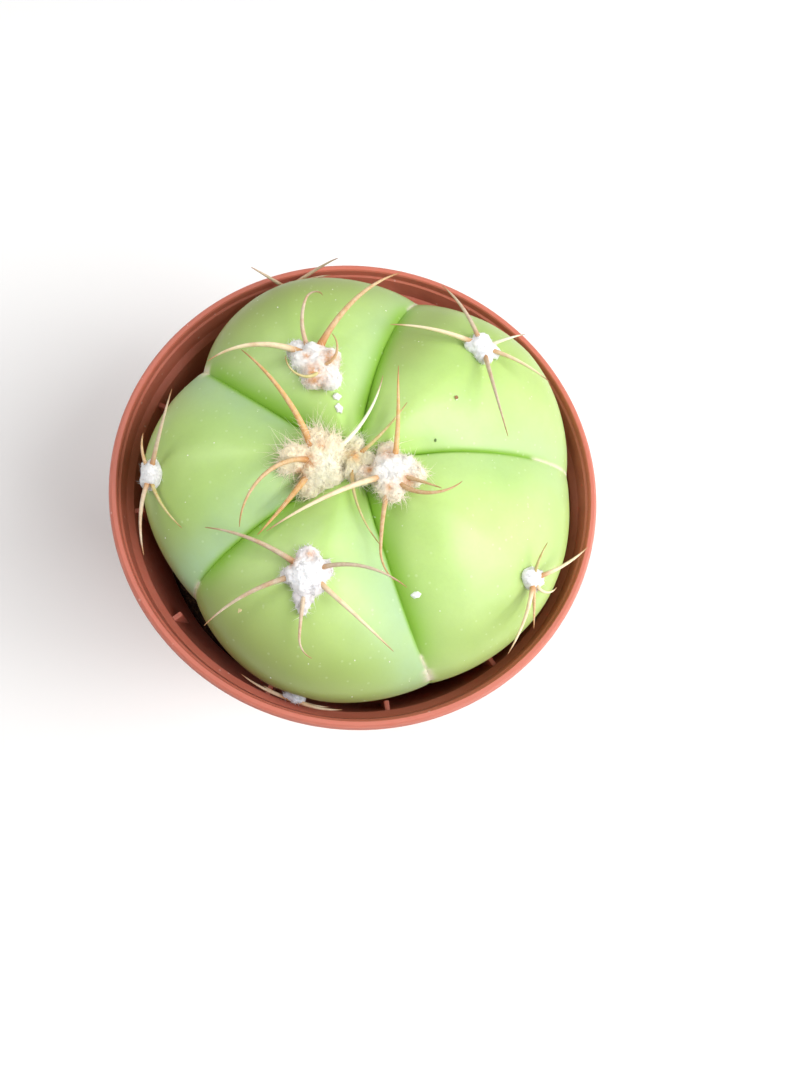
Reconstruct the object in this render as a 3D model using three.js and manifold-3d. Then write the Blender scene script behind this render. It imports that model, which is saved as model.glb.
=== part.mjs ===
// A five-ribbed chin cactus in a small round plastic pot.
// Units are millimetres. +Z is up, the origin is the centre of the pot's flat underside.
// Compass angles are in degrees, counter-clockwise from +X as seen from above.

import * as THREE from 'three';
import { mergeVertices } from 'three/addons/utils/BufferGeometryUtils.js';
import Module from 'manifold-3d';

const wasm = await Module();
wasm.setup();

// ---------- Driving dimensions ----------

const POT = {
  height: 70,
  rimRadius: 42.5,
  mouthRadius: 41.05,      // inside edge of the lip
  lipRound: 0.7,           // how much the rounded lip narrows towards its top
  lipChamfer: 0.3,
  mouthStep: 1.9,          // depth of the straight mouth, above a slight taper
  collarDepth: 9,          // height of the thick band below the rim, outside
  collarStep: 1.9,         // how far the band stands out of the wall
  ledgeDepth: 6,           // step inside, below the rim
  ledgeRadius: 39.4,       // inner wall just under that step
  baseRadius: 29,
  baseRound: 0.8,
  wall: 1.05,
  floor: 1.6,
  segments: 64,
};

const STACKING_LUGS = {
  count: 12, firstAt: -22.2, width: 0.9, reach: 1.7, height: 8.5, belowLedge: 0.3,
};
const DRAIN_HOLES = { count: 6, radius: 3.5, ring: 18, sides: 20 };

const SOIL = {
  depthBelowRim: 19,
  unevenness: 0.8,
  edgeRound: 1,
  gap: 0.35,               // to the pot all round
  socketGap: 0.25,         // more than that gap, round the plant's underside
  segments: 48,
  ringShares: [0.55, 0.75, 0.84, 0.92, 0.98],
};

const BODY = {
  centre: [0.8, -0.4],
  equatorBelowRim: 2,
  radius: 38.3,            // at the equator, before each rib's own reach
  rise: 17,                // equator to crown, before the crown dips
  under: 26,               // equator to the lowest point, in the soil
  topPower: 2.4,           // superellipse power above the equator: over 2 is flatter on top
  underPower: 2,
  crownShift: [-2.4, 0],
  crownDip: 3.5,
  dipRadius: 9,
  furrowDepth: 4.6,        // at mid height; each furrow has its own depth at the side
  furrowFade: 12,          // furrows start at the crown and reach full depth at this radius
  furrowSlope: 1.6,        // a furrow is a wide valley of this power ...
  furrowCrease: 22,        // ... and a narrow crease of this one ...
  creaseShare: 0.12,       // ... that takes this share of its depth
  sidePower: 0.8,          // how fast a furrow takes its side depth on the way down
  columnsPerRib: 11,
  crowding: 0.1,           // share by which columns crowd towards the furrows
  rows: 32,
};

// Ribs in turn round the plant. Each entry holds the furrow on the rib's clockwise side:
// where it meets the side, how far it has drifted by the crown, and its depth at the side.
const RIBS = [
  { furrowAt: 4.5, drift: 7, sideDepth: 1.7, reach: 1.1 },
  { furrowAt: 74.5, drift: 9, sideDepth: 1.9, reach: 1.2 },
  { furrowAt: 147, drift: 5, sideDepth: 4.6, reach: -0.9 },
  { furrowAt: 217.5, drift: -3, sideDepth: 3.6, reach: 0.0 },
  { furrowAt: 288, drift: -2, sideDepth: 2.3, reach: -0.8 },
];

const CLEARANCE = { seat: 0.3, channel: 0.25, lug: 0.35 };
const SPINE = { sides: 4, rings: 6, tipRadius: 0.12, taper: 0.75, rootHeight: 0.6, hookFrom: 0.7 };
const KNOT = { height: 0.9, shareOfWool: 0.7, sunk: 0.5, centre: 0.4, rings: 4, sides: 8 };
const WOOL = { sunk: 1.0, bumps: 0.05, rings: 6, sides: 12 };

// Areoles, the woolly cushions that the spines grow from. Each sits on the body at a compass
// angle `at` and at a fall from the crown `fall` (0 crown, 90 equator). Wool is half-length
// along the rib, half-width across it and height; `slide` moves it towards the crown from the
// spines' root knot, of radius `knot`. A spine leaves at `turn` degrees, counter-clockwise
// from the way to the crown; `lift` is its angle off the skin, `droop` how far it bends back
// down, `sweep` how far it turns sideways and `hook` how far its last part turns.
const AREOLES = [
  {
    name: 'e1', at: 194, fall: 7.2, knot: 1.7, wool: [3.9, 4.3, 2.7], slide: 0.4,
    spines: [
      { turn: 104, lift: 11, droop: 65, length: 21.7, sweep: 25, radius: 0.62 },
      { turn: 151, lift: 39, droop: 51, length: 19.1, sweep: 114, radius: 0.5 },
      { turn: 221, lift: 19, droop: 29, length: 13.8, sweep: 2, radius: 0.6 },
      { turn: 27, lift: 8, droop: 32, length: 17.8, sweep: 36, radius: 0.45 },
    ],
  },
  {
    name: 'c1', at: -30, fall: 6.7, knot: 1.7, wool: [4.0, 4.2, 3.0], slide: 0.2,
    spines: [
      { turn: 288, lift: 32, droop: 2, length: 16.1, sweep: 16, hook: -9, radius: 0.5 },
      { turn: 143, lift: 17, droop: 21, length: 12.8, sweep: 111, radius: 0.5 },
      { turn: 175, lift: 33, droop: 42, length: 8.3, sweep: 15, radius: 0.45 },
      { turn: 108, lift: 11, droop: 51, length: 17.7, sweep: 13, hook: 56, radius: 0.5 },
      { turn: 69, lift: 39, droop: 63, length: 22.2, sweep: -15, radius: 0.55 },
    ],
  },
  {
    name: 'crown', at: 219, fall: 0.4, knot: 1.0, wool: [2.3, 2.3, 1.7], slide: 0,
    spines: [
      { turn: -5, lift: 23, droop: 24, length: 12, sweep: 25, radius: 0.35 },
      { turn: 223, lift: 19, droop: 39, length: 15.5, sweep: 50, radius: 0.35 },
    ],
  },
  {
    name: 'a1', at: 116, fall: 22.4, knot: 1.7, wool: [4.3, 3.7, 3.1], slide: 1.5,
    spines: [
      { turn: 229, lift: 27, droop: 55, length: 17.1, sweep: 39, radius: 0.6 },
      { turn: 189, lift: 31, droop: 16, length: 12.6, sweep: -80, hook: -117, radius: 0.45 },
      { turn: 128, lift: 18, droop: 44, length: 22.1, sweep: -25, radius: 0.6 },
      { turn: -10, lift: 35, droop: 3, length: 8.9, sweep: 220, radius: 0.4 },
      { turn: 16, lift: 24, droop: 0, length: 10.6, sweep: -220, radius: 0.4 },
    ],
  },
  {
    name: 'd1', at: 249, fall: 28.8, knot: 1.5, wool: [3.6, 3.3, 2.8], slide: -0.3,
    spines: [
      { turn: 72, lift: 18, droop: 47, length: 17.8, sweep: 31, radius: 0.5 },
      { turn: 123, lift: 15, droop: 33, length: 17.3, sweep: 29, radius: 0.5 },
      { turn: 192, lift: 18, droop: 37, length: 13, sweep: 6, hook: 66, radius: 0.42 },
      { turn: 251, lift: 24, droop: 50, length: 17.2, sweep: -7, radius: 0.48 },
      { turn: 310, lift: 28, droop: 48, length: 15.6, sweep: -60, radius: 0.42 },
    ],
  },
  {
    name: 'b1', at: 45.6, fall: 44.8, knot: 1.2, wool: [2.4, 2.6, 2.0], slide: 0,
    spines: [
      { turn: 305, lift: 10, droop: 32, length: 15.7, sweep: 0, radius: 0.5 },
      { turn: 260, lift: 32, droop: 43, length: 12.9, sweep: -1, radius: 0.45 },
      { turn: 148, lift: 38, droop: 21, length: 7, sweep: 0, radius: 0.38 },
      { turn: 102, lift: 22, droop: 31, length: 12.2, sweep: 0, radius: 0.42 },
      { turn: 44, lift: 10, droop: 19, length: 19.3, sweep: 13, radius: 0.45 },
    ],
  },
  {
    name: 'c2', at: -33, fall: 58.6, knot: 1.1, wool: [2.4, 2.0, 1.6], slide: 0,
    spines: [
      { turn: 238, lift: 28, droop: 20, length: 10.4, sweep: 18, radius: 0.42 },
      { turn: 321, lift: 24, droop: 7, length: 6.2, sweep: -36, radius: 0.35 },
      { turn: 109, lift: 23, droop: 5, length: 7.7, sweep: 0, radius: 0.4 },
      { turn: 94, lift: 25, droop: 29, length: 13.1, sweep: -4, radius: 0.42 },
      { turn: 140, lift: 26, droop: 25, length: 5.2, sweep: 122, radius: 0.35 },
    ],
  },
  {
    name: 'e2', at: 184.7, fall: 60.5, knot: 1.2, wool: [2.2, 2.6, 1.9], slide: 0,
    spines: [
      { turn: 42, lift: 13, droop: 5, length: 14.4, sweep: 0, radius: 0.42 },
      { turn: 84, lift: 38, droop: 51, length: 6.2, sweep: -5, radius: 0.36 },
      { turn: 273, lift: 30, droop: 48, length: 13, sweep: -14, radius: 0.42 },
      { turn: 291, lift: 7, droop: 37, length: 10.6, sweep: 9, radius: 0.36 },
    ],
  },
  {
    name: 'd2', at: 253, fall: 94, knot: 0.9, wool: [1.7, 1.9, 1.2], slide: 0,
    spines: [
      { turn: 97, lift: 3, droop: 23, length: 9.3, sweep: 2, radius: 0.38 },
      { turn: 283, lift: 8, droop: 28, length: 8, sweep: 0, radius: 0.38 },
      { turn: 96, lift: 2, droop: 20, length: 5, sweep: 0, radius: 0.32 },
      { turn: 252, lift: 5, droop: 19, length: 5.9, sweep: -1, radius: 0.32 },
    ],
  },
  {
    name: 'a2', at: 112, fall: 88, knot: 1.0, wool: [1.8, 1.9, 1.1], slide: 0,
    spines: [
      { turn: 327, lift: 13, droop: 4, length: 9, sweep: -2, radius: 0.4 },
      { turn: 77, lift: 9, droop: 36, length: 12.3, sweep: -51, radius: 0.4 },
      { turn: 82, lift: 4, droop: 24, length: 8, sweep: 0, radius: 0.36 },
      { turn: 278, lift: 4, droop: 24, length: 8, sweep: 0, radius: 0.36 },
    ],
  },
];

const COLOURS = {
  pot: 0xc8705f,
  soil: 0x35261d,
  body: 0xb4d070,
  wool: 0xf1ece2,
  spines: 0xd9b98a,
};

// ---------- Small helpers ----------

const radians = (degrees) => (degrees * Math.PI) / 180;
const smooth = (x) => {
  const t = Math.min(Math.max(x, 0), 1);
  return t * t * (3 - 2 * t);
};

// A closed three.js geometry as a solid that can be cut and joined.
function solidFrom(geometry) {
  const bare = geometry.index ? geometry.toNonIndexed() : geometry.clone();
  bare.deleteAttribute('normal');
  bare.deleteAttribute('uv');
  const merged = mergeVertices(bare, 1e-4);
  const triangles = [];
  for (let i = 0; i < merged.index.count; i += 3) {
    const [a, b, c] = [0, 1, 2].map((corner) => merged.index.getX(i + corner));
    if (a !== b && b !== c && c !== a) triangles.push(a, b, c);
  }
  return new wasm.Manifold(new wasm.Mesh({
    numProp: 3,
    vertProperties: new Float32Array(merged.attributes.position.array),
    triVerts: new Uint32Array(triangles),
  }));
}

function geometryFrom(solid) {
  const mesh = solid.getMesh();
  const geometry = new THREE.BufferGeometry();
  geometry.setAttribute('position', new THREE.BufferAttribute(mesh.vertProperties, 3));
  geometry.setIndex(new THREE.BufferAttribute(mesh.triVerts, 1));
  geometry.computeVertexNormals();
  return geometry;
}

// A closed skin from a first point, rings of points and a last point. The rings run
// counter-clockwise as seen from the first point looking back along the stack.
function skinOf(first, rings, last) {
  const count = rings[0].length;
  const points = [first, ...rings.flat(), last];
  const lastIndex = points.length - 1;
  const at = (ring, column) => 1 + ring * count + (column % count);
  const triangles = [];
  for (let c = 0; c < count; c++) {
    triangles.push(0, at(0, c), at(0, c + 1));
    triangles.push(lastIndex, at(rings.length - 1, c + 1), at(rings.length - 1, c));
    for (let r = 0; r < rings.length - 1; r++) {
      triangles.push(at(r, c), at(r + 1, c), at(r + 1, c + 1));
      triangles.push(at(r, c), at(r + 1, c + 1), at(r, c + 1));
    }
  }
  const geometry = new THREE.BufferGeometry();
  geometry.setAttribute('position', new THREE.Float32BufferAttribute(
    points.flatMap((p) => [p.x, p.y, p.z]), 3));
  geometry.setIndex(triangles);
  return solidFrom(geometry);
}

const largestOf = (solid) => solid.decompose()
  .reduce((best, piece) => (piece.volume() > best.volume() ? piece : best));

// ---------- Pot ----------

const rimZ = POT.height;
const collarFoot = rimZ - POT.collarDepth;
const wallTopRadius = POT.rimRadius - POT.lipRound - POT.collarStep;

function innerWallRadius(z) {
  const ledgeZ = rimZ - POT.ledgeDepth;
  const footRadius = POT.baseRadius - POT.wall;
  return footRadius + (POT.ledgeRadius - footRadius) * (z - POT.floor) / (ledgeZ - POT.floor);
}

const lugAngles = Array.from({ length: STACKING_LUGS.count },
  (_, i) => radians(STACKING_LUGS.firstAt + (360 / STACKING_LUGS.count) * i));

function potSolid() {
  const { rimRadius, mouthRadius, lipRound, lipChamfer, mouthStep, baseRadius, baseRound } = POT;
  const ledgeZ = rimZ - POT.ledgeDepth;
  const profile = [
    [0, 0],
    [baseRadius - baseRound, 0],
    [baseRadius, baseRound],
    [wallTopRadius, collarFoot],
    [rimRadius - lipRound, collarFoot + lipRound],
    [rimRadius, rimZ - 3 * lipChamfer],
    [rimRadius - lipChamfer, rimZ - lipChamfer],
    [rimRadius - lipRound, rimZ],
    [mouthRadius + lipChamfer / 2, rimZ],
    [mouthRadius, rimZ - lipChamfer],
    [mouthRadius, rimZ - mouthStep + lipChamfer],
    [mouthRadius - lipChamfer, rimZ - mouthStep],
    [mouthRadius - 2 * lipChamfer, ledgeZ + 3 * lipChamfer],
    [POT.ledgeRadius, ledgeZ],
    [baseRadius - POT.wall, POT.floor],
    [0, POT.floor],
  ].map(([radius, z]) => new THREE.Vector2(radius, z));
  const lathe = new THREE.LatheGeometry(profile, POT.segments);
  lathe.rotateX(Math.PI / 2);
  let pot = solidFrom(lathe);
  for (const angle of lugAngles) pot = pot.add(stackingLug(angle));
  for (let i = 0; i < DRAIN_HOLES.count; i++) {
    const angle = radians((360 / DRAIN_HOLES.count) * i);
    const drill = new THREE.CylinderGeometry(
      DRAIN_HOLES.radius, DRAIN_HOLES.radius, POT.floor * 3, DRAIN_HOLES.sides);
    drill.rotateX(Math.PI / 2);
    drill.translate(DRAIN_HOLES.ring * Math.cos(angle), DRAIN_HOLES.ring * Math.sin(angle), 0);
    pot = pot.subtract(solidFrom(drill));
  }
  return pot;
}

// An upright fin under the ledge that keeps nested pots apart.
function stackingLug(angle, grow = 0) {
  const top = rimZ - POT.ledgeDepth - STACKING_LUGS.belowLedge + grow;
  const foot = top - STACKING_LUGS.height - 2 * grow;
  const inner = POT.ledgeRadius - STACKING_LUGS.reach - grow;
  const width = STACKING_LUGS.width + 2 * grow;
  const intoWall = POT.wall / 2;
  const outline = new THREE.Shape([
    new THREE.Vector2(inner, top),
    new THREE.Vector2(inner, foot),
    new THREE.Vector2(innerWallRadius(foot) + intoWall, foot),
    new THREE.Vector2(innerWallRadius(top) + intoWall, top),
  ]);
  const fin = new THREE.ExtrudeGeometry(outline, {
    depth: width,
    bevelEnabled: false,
  });
  fin.rotateX(Math.PI / 2);
  fin.translate(0, width / 2, 0);
  fin.rotateZ(angle);
  return solidFrom(fin);
}

// ---------- Cactus body ----------

const equatorZ = rimZ - BODY.equatorBelowRim;

// Compass angle of the furrow on a rib's clockwise side, `fall` in radians from the crown.
function furrowAngle(rib, fall) {
  const turns = Math.floor(rib / RIBS.length);
  const { furrowAt, drift } = RIBS[rib % RIBS.length];
  const towardsCrown = fall < Math.PI / 2 ? 1 - Math.sin(fall) : 0;
  return furrowAt + 360 * turns + drift * towardsCrown;
}

// The skin at a share (0..1) of the way across a rib and a fall from the crown in radians.
function skinPoint(rib, share, fall, grow = 0) {
  const start = furrowAngle(rib, fall);
  const compass = radians(start + share * (furrowAngle(rib + 1, fall) - start));
  const fromMiddle = Math.abs(2 * share - 1);
  const sine = Math.max(Math.sin(fall), 0);
  const cosine = Math.cos(fall);
  const above = cosine > 0;
  const tall = above ? BODY.rise : BODY.under;
  const power = above ? BODY.topPower : BODY.underPower;

  const radius = BODY.radius * sine ** (2 / power);
  const height = Math.sign(cosine) * tall * Math.abs(cosine) ** (2 / power);
  const normal = new THREE.Vector2(
    radius ** (power - 1) / BODY.radius ** power,
    Math.sign(cosine) * Math.abs(height) ** (power - 1) / tall ** power,
  ).normalize();

  const here = RIBS[rib % RIBS.length];
  const next = RIBS[(rib + 1) % RIBS.length];
  const side = here.sideDepth * (1 - share) + next.sideDepth * share;
  const full = above
    ? side + (BODY.furrowDepth - side) * cosine ** BODY.sidePower
    : side * Math.sqrt(Math.max(1 + cosine, 0));
  const groove = (1 - BODY.creaseShare) * fromMiddle ** BODY.furrowSlope
    + BODY.creaseShare * fromMiddle ** BODY.furrowCrease;
  const bulge = here.reach * (1 - fromMiddle ** 2) * sine ** 2;
  const offset = bulge - full * smooth(radius / BODY.furrowFade) * groove + grow;

  const out = radius + offset * normal.x;
  const dip = above ? BODY.crownDip * Math.exp(-((out / BODY.dipRadius) ** 2)) : 0;
  const lean = Math.max(cosine, 0);
  return new THREE.Vector3(
    BODY.centre[0] + BODY.crownShift[0] * lean + out * Math.cos(compass),
    BODY.centre[1] + BODY.crownShift[1] * lean + out * Math.sin(compass),
    equatorZ + height + offset * normal.y - dip,
  );
}

// Columns crowd together towards the furrows, where the skin turns sharply.
function bodySolid(rows, columnsPerRib, grow = 0) {
  const rings = [];
  for (let row = 1; row < rows; row++) {
    const fall = (Math.PI * row) / rows;
    const ring = [];
    for (let rib = 0; rib < RIBS.length; rib++) {
      for (let column = 0; column < columnsPerRib; column++) {
        const even = column / columnsPerRib;
        const share = even - BODY.crowding * Math.sin(2 * Math.PI * even);
        ring.push(skinPoint(rib, share, fall, grow));
      }
    }
    rings.push(ring);
  }
  return skinOf(skinPoint(0, 0.5, 0, grow), rings, skinPoint(0, 0.5, Math.PI, grow));
}

// The skin at a compass angle round the plant, found through the rib it falls on.
function skinAt(compass, fallDegrees) {
  const fall = radians(fallDegrees);
  for (let rib = 0; rib < RIBS.length; rib++) {
    const start = furrowAngle(rib, fall);
    const span = furrowAngle(rib + 1, fall) - start;
    const past = (((compass - start) % 360) + 360) % 360;
    if (past < span) return skinPoint(rib, past / span, fall);
  }
  return skinPoint(0, 0, fall);
}

// ---------- Areoles: wool and spines ----------

// Where an areole sits: its point on the skin, the way out, the way to the crown, and across.
function seatFrame({ at, fall }) {
  const step = 0.3;
  const origin = skinAt(at, fall);
  const toCrown = skinAt(at, fall - step).sub(skinAt(at, fall + step)).normalize();
  const around = skinAt(at + step, fall).sub(skinAt(at - step, fall)).normalize();
  const out = new THREE.Vector3().crossVectors(around, toCrown).normalize();
  const up = toCrown.addScaledVector(out, -toCrown.dot(out)).normalize();
  const across = new THREE.Vector3().crossVectors(out, up);
  return { origin, out, up, across };
}

const placed = (frame, along, across, out) => frame.origin.clone()
  .addScaledVector(frame.up, along)
  .addScaledVector(frame.across, across)
  .addScaledVector(frame.out, out);

// A rounded cushion: half-length, half-width, height above and depth below its centre.
function cushion(frame, centre, [halfLength, halfWidth, above, below], bumps, rings, sides) {
  const point = (lower, angle) => {
    const wide = Math.sin(lower);
    const tall = Math.cos(lower);
    const bump = 1 + bumps * (Math.sin(3 * angle + 5 * tall) + 0.7 * Math.sin(7 * angle - 4 * tall));
    return placed(
      frame,
      centre[0] + halfLength * wide * bump * Math.cos(angle),
      halfWidth * wide * bump * Math.sin(angle),
      centre[1] + tall * (tall > 0 ? above * bump : below),
    );
  };
  const stack = [];
  for (let r = 1; r < rings; r++) {
    const ring = [];
    for (let s = 0; s < sides; s++) {
      ring.push(point((Math.PI * r) / rings, (2 * Math.PI * s) / sides));
    }
    stack.push(ring);
  }
  return skinOf(point(0, 0), stack, point(Math.PI, 0));
}

function spineSolid(frame, knot, spine, grow) {
  const { turn, lift, droop, length, sweep, radius, hook = 0 } = spine;
  const leave = radians(turn);
  const rootAlong = (knot / 2) * Math.cos(leave);
  const rootAcross = (knot / 2) * Math.sin(leave);
  const here = placed(frame, rootAlong, rootAcross, SPINE.rootHeight);
  const root = here.clone();
  const rings = [];
  const heading = new THREE.Vector3();
  for (let i = 0; i < SPINE.rings; i++) {
    const along = (i + 0.5) / SPINE.rings;
    const climb = radians(lift - droop * along);
    const intoHook = Math.max(0, (along - SPINE.hookFrom) / (1 - SPINE.hookFrom));
    const way = radians(turn + sweep * along + hook * intoHook);
    heading.set(0, 0, 0)
      .addScaledVector(frame.up, Math.cos(climb) * Math.cos(way))
      .addScaledVector(frame.across, Math.cos(climb) * Math.sin(way))
      .addScaledVector(frame.out, Math.sin(climb));
    const side = new THREE.Vector3().crossVectors(frame.out, heading).normalize();
    const over = new THREE.Vector3().crossVectors(heading, side);
    const thin = (1 - i / SPINE.rings) ** SPINE.taper;
    const thick = SPINE.tipRadius + (radius - SPINE.tipRadius) * thin + grow;
    const ring = [];
    for (let s = 0; s < SPINE.sides; s++) {
      const angle = (-2 * Math.PI * s) / SPINE.sides;
      ring.push(here.clone()
        .addScaledVector(side, thick * Math.cos(angle))
        .addScaledVector(over, thick * Math.sin(angle)));
    }
    rings.push(ring);
    here.addScaledVector(heading, length / SPINE.rings);
  }
  return skinOf(root, rings, here);
}

// All spines of one areole, joined at their root knot under the wool.
function spineBunch(areole, frame, grow = 0) {
  const radius = areole.knot + grow;
  const height = Math.min(KNOT.height, areole.wool[2] * KNOT.shareOfWool) + grow;
  const size = [radius, radius, height, KNOT.sunk + grow];
  let bunch = cushion(frame, [0, KNOT.centre], size, 0, KNOT.rings, KNOT.sides);
  for (const spine of areole.spines) {
    bunch = bunch.add(spineSolid(frame, areole.knot, spine, grow));
  }
  return bunch;
}

function woolCushion(areole, frame, grow = 0) {
  const [halfLength, halfWidth, height] = areole.wool;
  const size = [halfLength + grow, halfWidth + grow, height + grow, WOOL.sunk + grow];
  return cushion(frame, [areole.slide, 0], size, WOOL.bumps, WOOL.rings, WOOL.sides);
}

// ---------- Soil ----------

function soilSolid(plant) {
  const top = rimZ - SOIL.depthBelowRim;
  const floor = POT.floor + SOIL.gap;
  const uneven = (x, y) => SOIL.unevenness * (Math.sin(x / 3 + 1) * Math.cos(y / 4)
    + 0.5 * Math.sin(x / 1.6 - y / 1.4));
  const ringAt = (radius, height) => {
    const ring = [];
    for (let s = 0; s < SOIL.segments; s++) {
      const angle = (2 * Math.PI * s) / SOIL.segments;
      const x = radius * Math.cos(angle);
      const y = radius * Math.sin(angle);
      ring.push(new THREE.Vector3(x, y, height ?? top + uneven(x, y)));
    }
    return ring;
  };
  const edgeTop = top - SOIL.edgeRound;
  const edge = innerWallRadius(edgeTop) - SOIL.gap;
  const rings = SOIL.ringShares.map((share) => ringAt(edge * share));
  rings.push(ringAt(edge, edgeTop));
  rings.push(ringAt(innerWallRadius(floor) - SOIL.gap, floor));
  const centreTop = new THREE.Vector3(0, 0, top);
  const centreFloor = new THREE.Vector3(0, 0, floor);
  const heap = skinOf(centreTop, rings, centreFloor);
  return heap.subtract(plant);
}

// ---------- The assembly ----------

const group = new THREE.Group();

function addPart(name, solid, colour, roughness) {
  const material = new THREE.MeshStandardMaterial({ color: colour, roughness, metalness: 0 });
  const mesh = new THREE.Mesh(geometryFrom(solid), material);
  mesh.name = name;
  group.add(mesh);
}

addPart('pot', potSolid(), COLOURS.pot, 0.55);

const SOCKET = { rows: 20, columnsPerRib: 6 };
const socketCutter = bodySolid(SOCKET.rows, SOCKET.columnsPerRib, SOIL.gap + SOIL.socketGap);
addPart('soil', largestOf(soilSolid(socketCutter)), COLOURS.soil, 1);

// The body keeps a seat for every cushion of wool and is pressed in where it meets a lug.
const frames = AREOLES.map(seatFrame);
let body = bodySolid(BODY.rows, BODY.columnsPerRib);
for (const angle of lugAngles) body = body.subtract(stackingLug(angle, CLEARANCE.lug));
AREOLES.forEach((areole, i) => {
  body = body.subtract(woolCushion(areole, frames[i], CLEARANCE.seat));
});
addPart('cactus_body', largestOf(body), COLOURS.body, 0.45);

// Wool parts round every spine that passes through it and stops short of its neighbours' wool.
AREOLES.forEach((areole, i) => {
  let wool = woolCushion(areole, frames[i]);
  AREOLES.forEach((other, j) => {
    wool = wool.subtract(spineBunch(other, frames[j], CLEARANCE.channel));
    if (j < i) wool = wool.subtract(woolCushion(other, frames[j], CLEARANCE.seat));
  });
  addPart(`wool_${areole.name}`, largestOf(wool), COLOURS.wool, 1);
});
AREOLES.forEach((areole, i) => {
  addPart(`spines_${areole.name}`, spineBunch(areole, frames[i]), COLOURS.spines, 0.5);
});

export default group;
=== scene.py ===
"""Looks for a five-ribbed chin cactus in a small round plastic pot.

Everything is in metres, +Z up, with the origin at the centre of the pot's flat underside.
Tables of the plant's own measures are in millimetres and degrees, and MM turns them to metres.
"""

import math
import random
from collections import namedtuple

import bpy
import numpy as np
from bpy.props import FloatProperty, FloatVectorProperty, IntProperty, PointerProperty
from bpy.types import Operator, Panel, PropertyGroup
from mathutils import Matrix, Vector, noise


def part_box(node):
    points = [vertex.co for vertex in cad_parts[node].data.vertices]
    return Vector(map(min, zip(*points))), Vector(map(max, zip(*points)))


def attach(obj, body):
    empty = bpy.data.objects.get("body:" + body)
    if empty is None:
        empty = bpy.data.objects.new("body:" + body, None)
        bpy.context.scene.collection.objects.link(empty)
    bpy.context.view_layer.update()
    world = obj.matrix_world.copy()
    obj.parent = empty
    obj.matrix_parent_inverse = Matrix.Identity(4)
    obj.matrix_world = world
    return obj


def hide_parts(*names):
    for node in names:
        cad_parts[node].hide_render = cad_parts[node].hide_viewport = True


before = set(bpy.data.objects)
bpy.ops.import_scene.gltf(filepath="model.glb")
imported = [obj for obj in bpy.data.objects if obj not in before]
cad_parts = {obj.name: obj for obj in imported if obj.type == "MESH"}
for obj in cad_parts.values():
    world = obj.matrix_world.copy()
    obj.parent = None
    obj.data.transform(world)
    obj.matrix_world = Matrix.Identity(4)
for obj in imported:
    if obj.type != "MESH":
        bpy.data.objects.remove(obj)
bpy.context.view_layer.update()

bl_info = {
    "name": "Potted Chin Cactus",
    "version": (1, 0, 0),
    "blender": (4, 5, 0),
    "location": "View3D > Sidebar > Cactus",
    "description": "Grows a ribbed chin cactus with woolly areoles and curved spines in a plastic pot",
    "category": "Add Mesh",
}

MM = 0.001
BODY = "root"
POT_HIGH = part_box("pot")[1]
SOIL_LOW, SOIL_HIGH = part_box("soil")
RIM_Z = POT_HIGH.z
RIM_RADIUS = POT_HIGH.x


def from_hex(code):
    """A colour written as 0xRRGGBB, in the linear values that shaders take."""
    values = []
    for shift in (16, 8, 0):
        share = ((code >> shift) & 255) / 255
        values.append(share / 12.92 if share <= 0.04045 else ((share + 0.055) / 1.055) ** 2.4)
    return tuple(values)


# ---------------------------------------------------------------- the plant's measures

# Ribs in turn, counter-clockwise from above. Each row has the furrow on the rib's clockwise side
# (where it meets the side, how far it drifts by the crown, its depth at the side) and the rib's
# reach. Then, for its clockwise and counter-clockwise flanks, the strength of the bluish bloom,
# which is partly painted sheen and strongest on the flanks that face the light, and the half-width
# of the green strip along the furrow, which is widened into painted shade on flanks turned from it.
RIBS = {
    "b": (4.5, 7, 1.7, 1.1, (0.4, 0.1), (0.5, 1.6)),
    "a": (74.5, 9, 1.9, 1.2, (0.6, 0.2), (1.6, 2.4)),
    "e": (147, 5, 4.6, -0.9, (0.9, 1.0), (0.7, 0.5)),
    "d": (217.5, -3, 3.6, 0, (0.1, 0.9), (2.4, 0.4)),
    "c": (288, -2, 2.3, -0.8, (0.1, 0.4), (2.6, 0.4)),
}
RIB_NAMES = list(RIBS)
RIB_COUNT = len(RIBS)
FURROW_AT, DRIFT, SIDE_DEPTH, REACH, BLOOM_AND_SHEEN, GREEN_AND_SHADE = (
    np.array(column, float) for column in zip(*RIBS.values()))

SHAPE = {
    "centre": (0.8, -0.4),
    "equator": 68,          # height of the widest level
    "radius": 38.3,
    "rise": 17,             # equator to crown, before the crown dips
    "under": 26,            # equator to the lowest point
    "top_power": 2.4,       # superellipse power above the equator
    "under_power": 2,
    "crown_shift": -2.4,
    "crown_dip": 3.5,
    "dip_radius": 9,
    "furrow_depth": 4.6,
    "furrow_fade": 12,
    "furrow_slope": 1.6,
    "furrow_crease": 45,
    "crease_share": 0.07,
    "side_power": 0.8,
}

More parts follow.
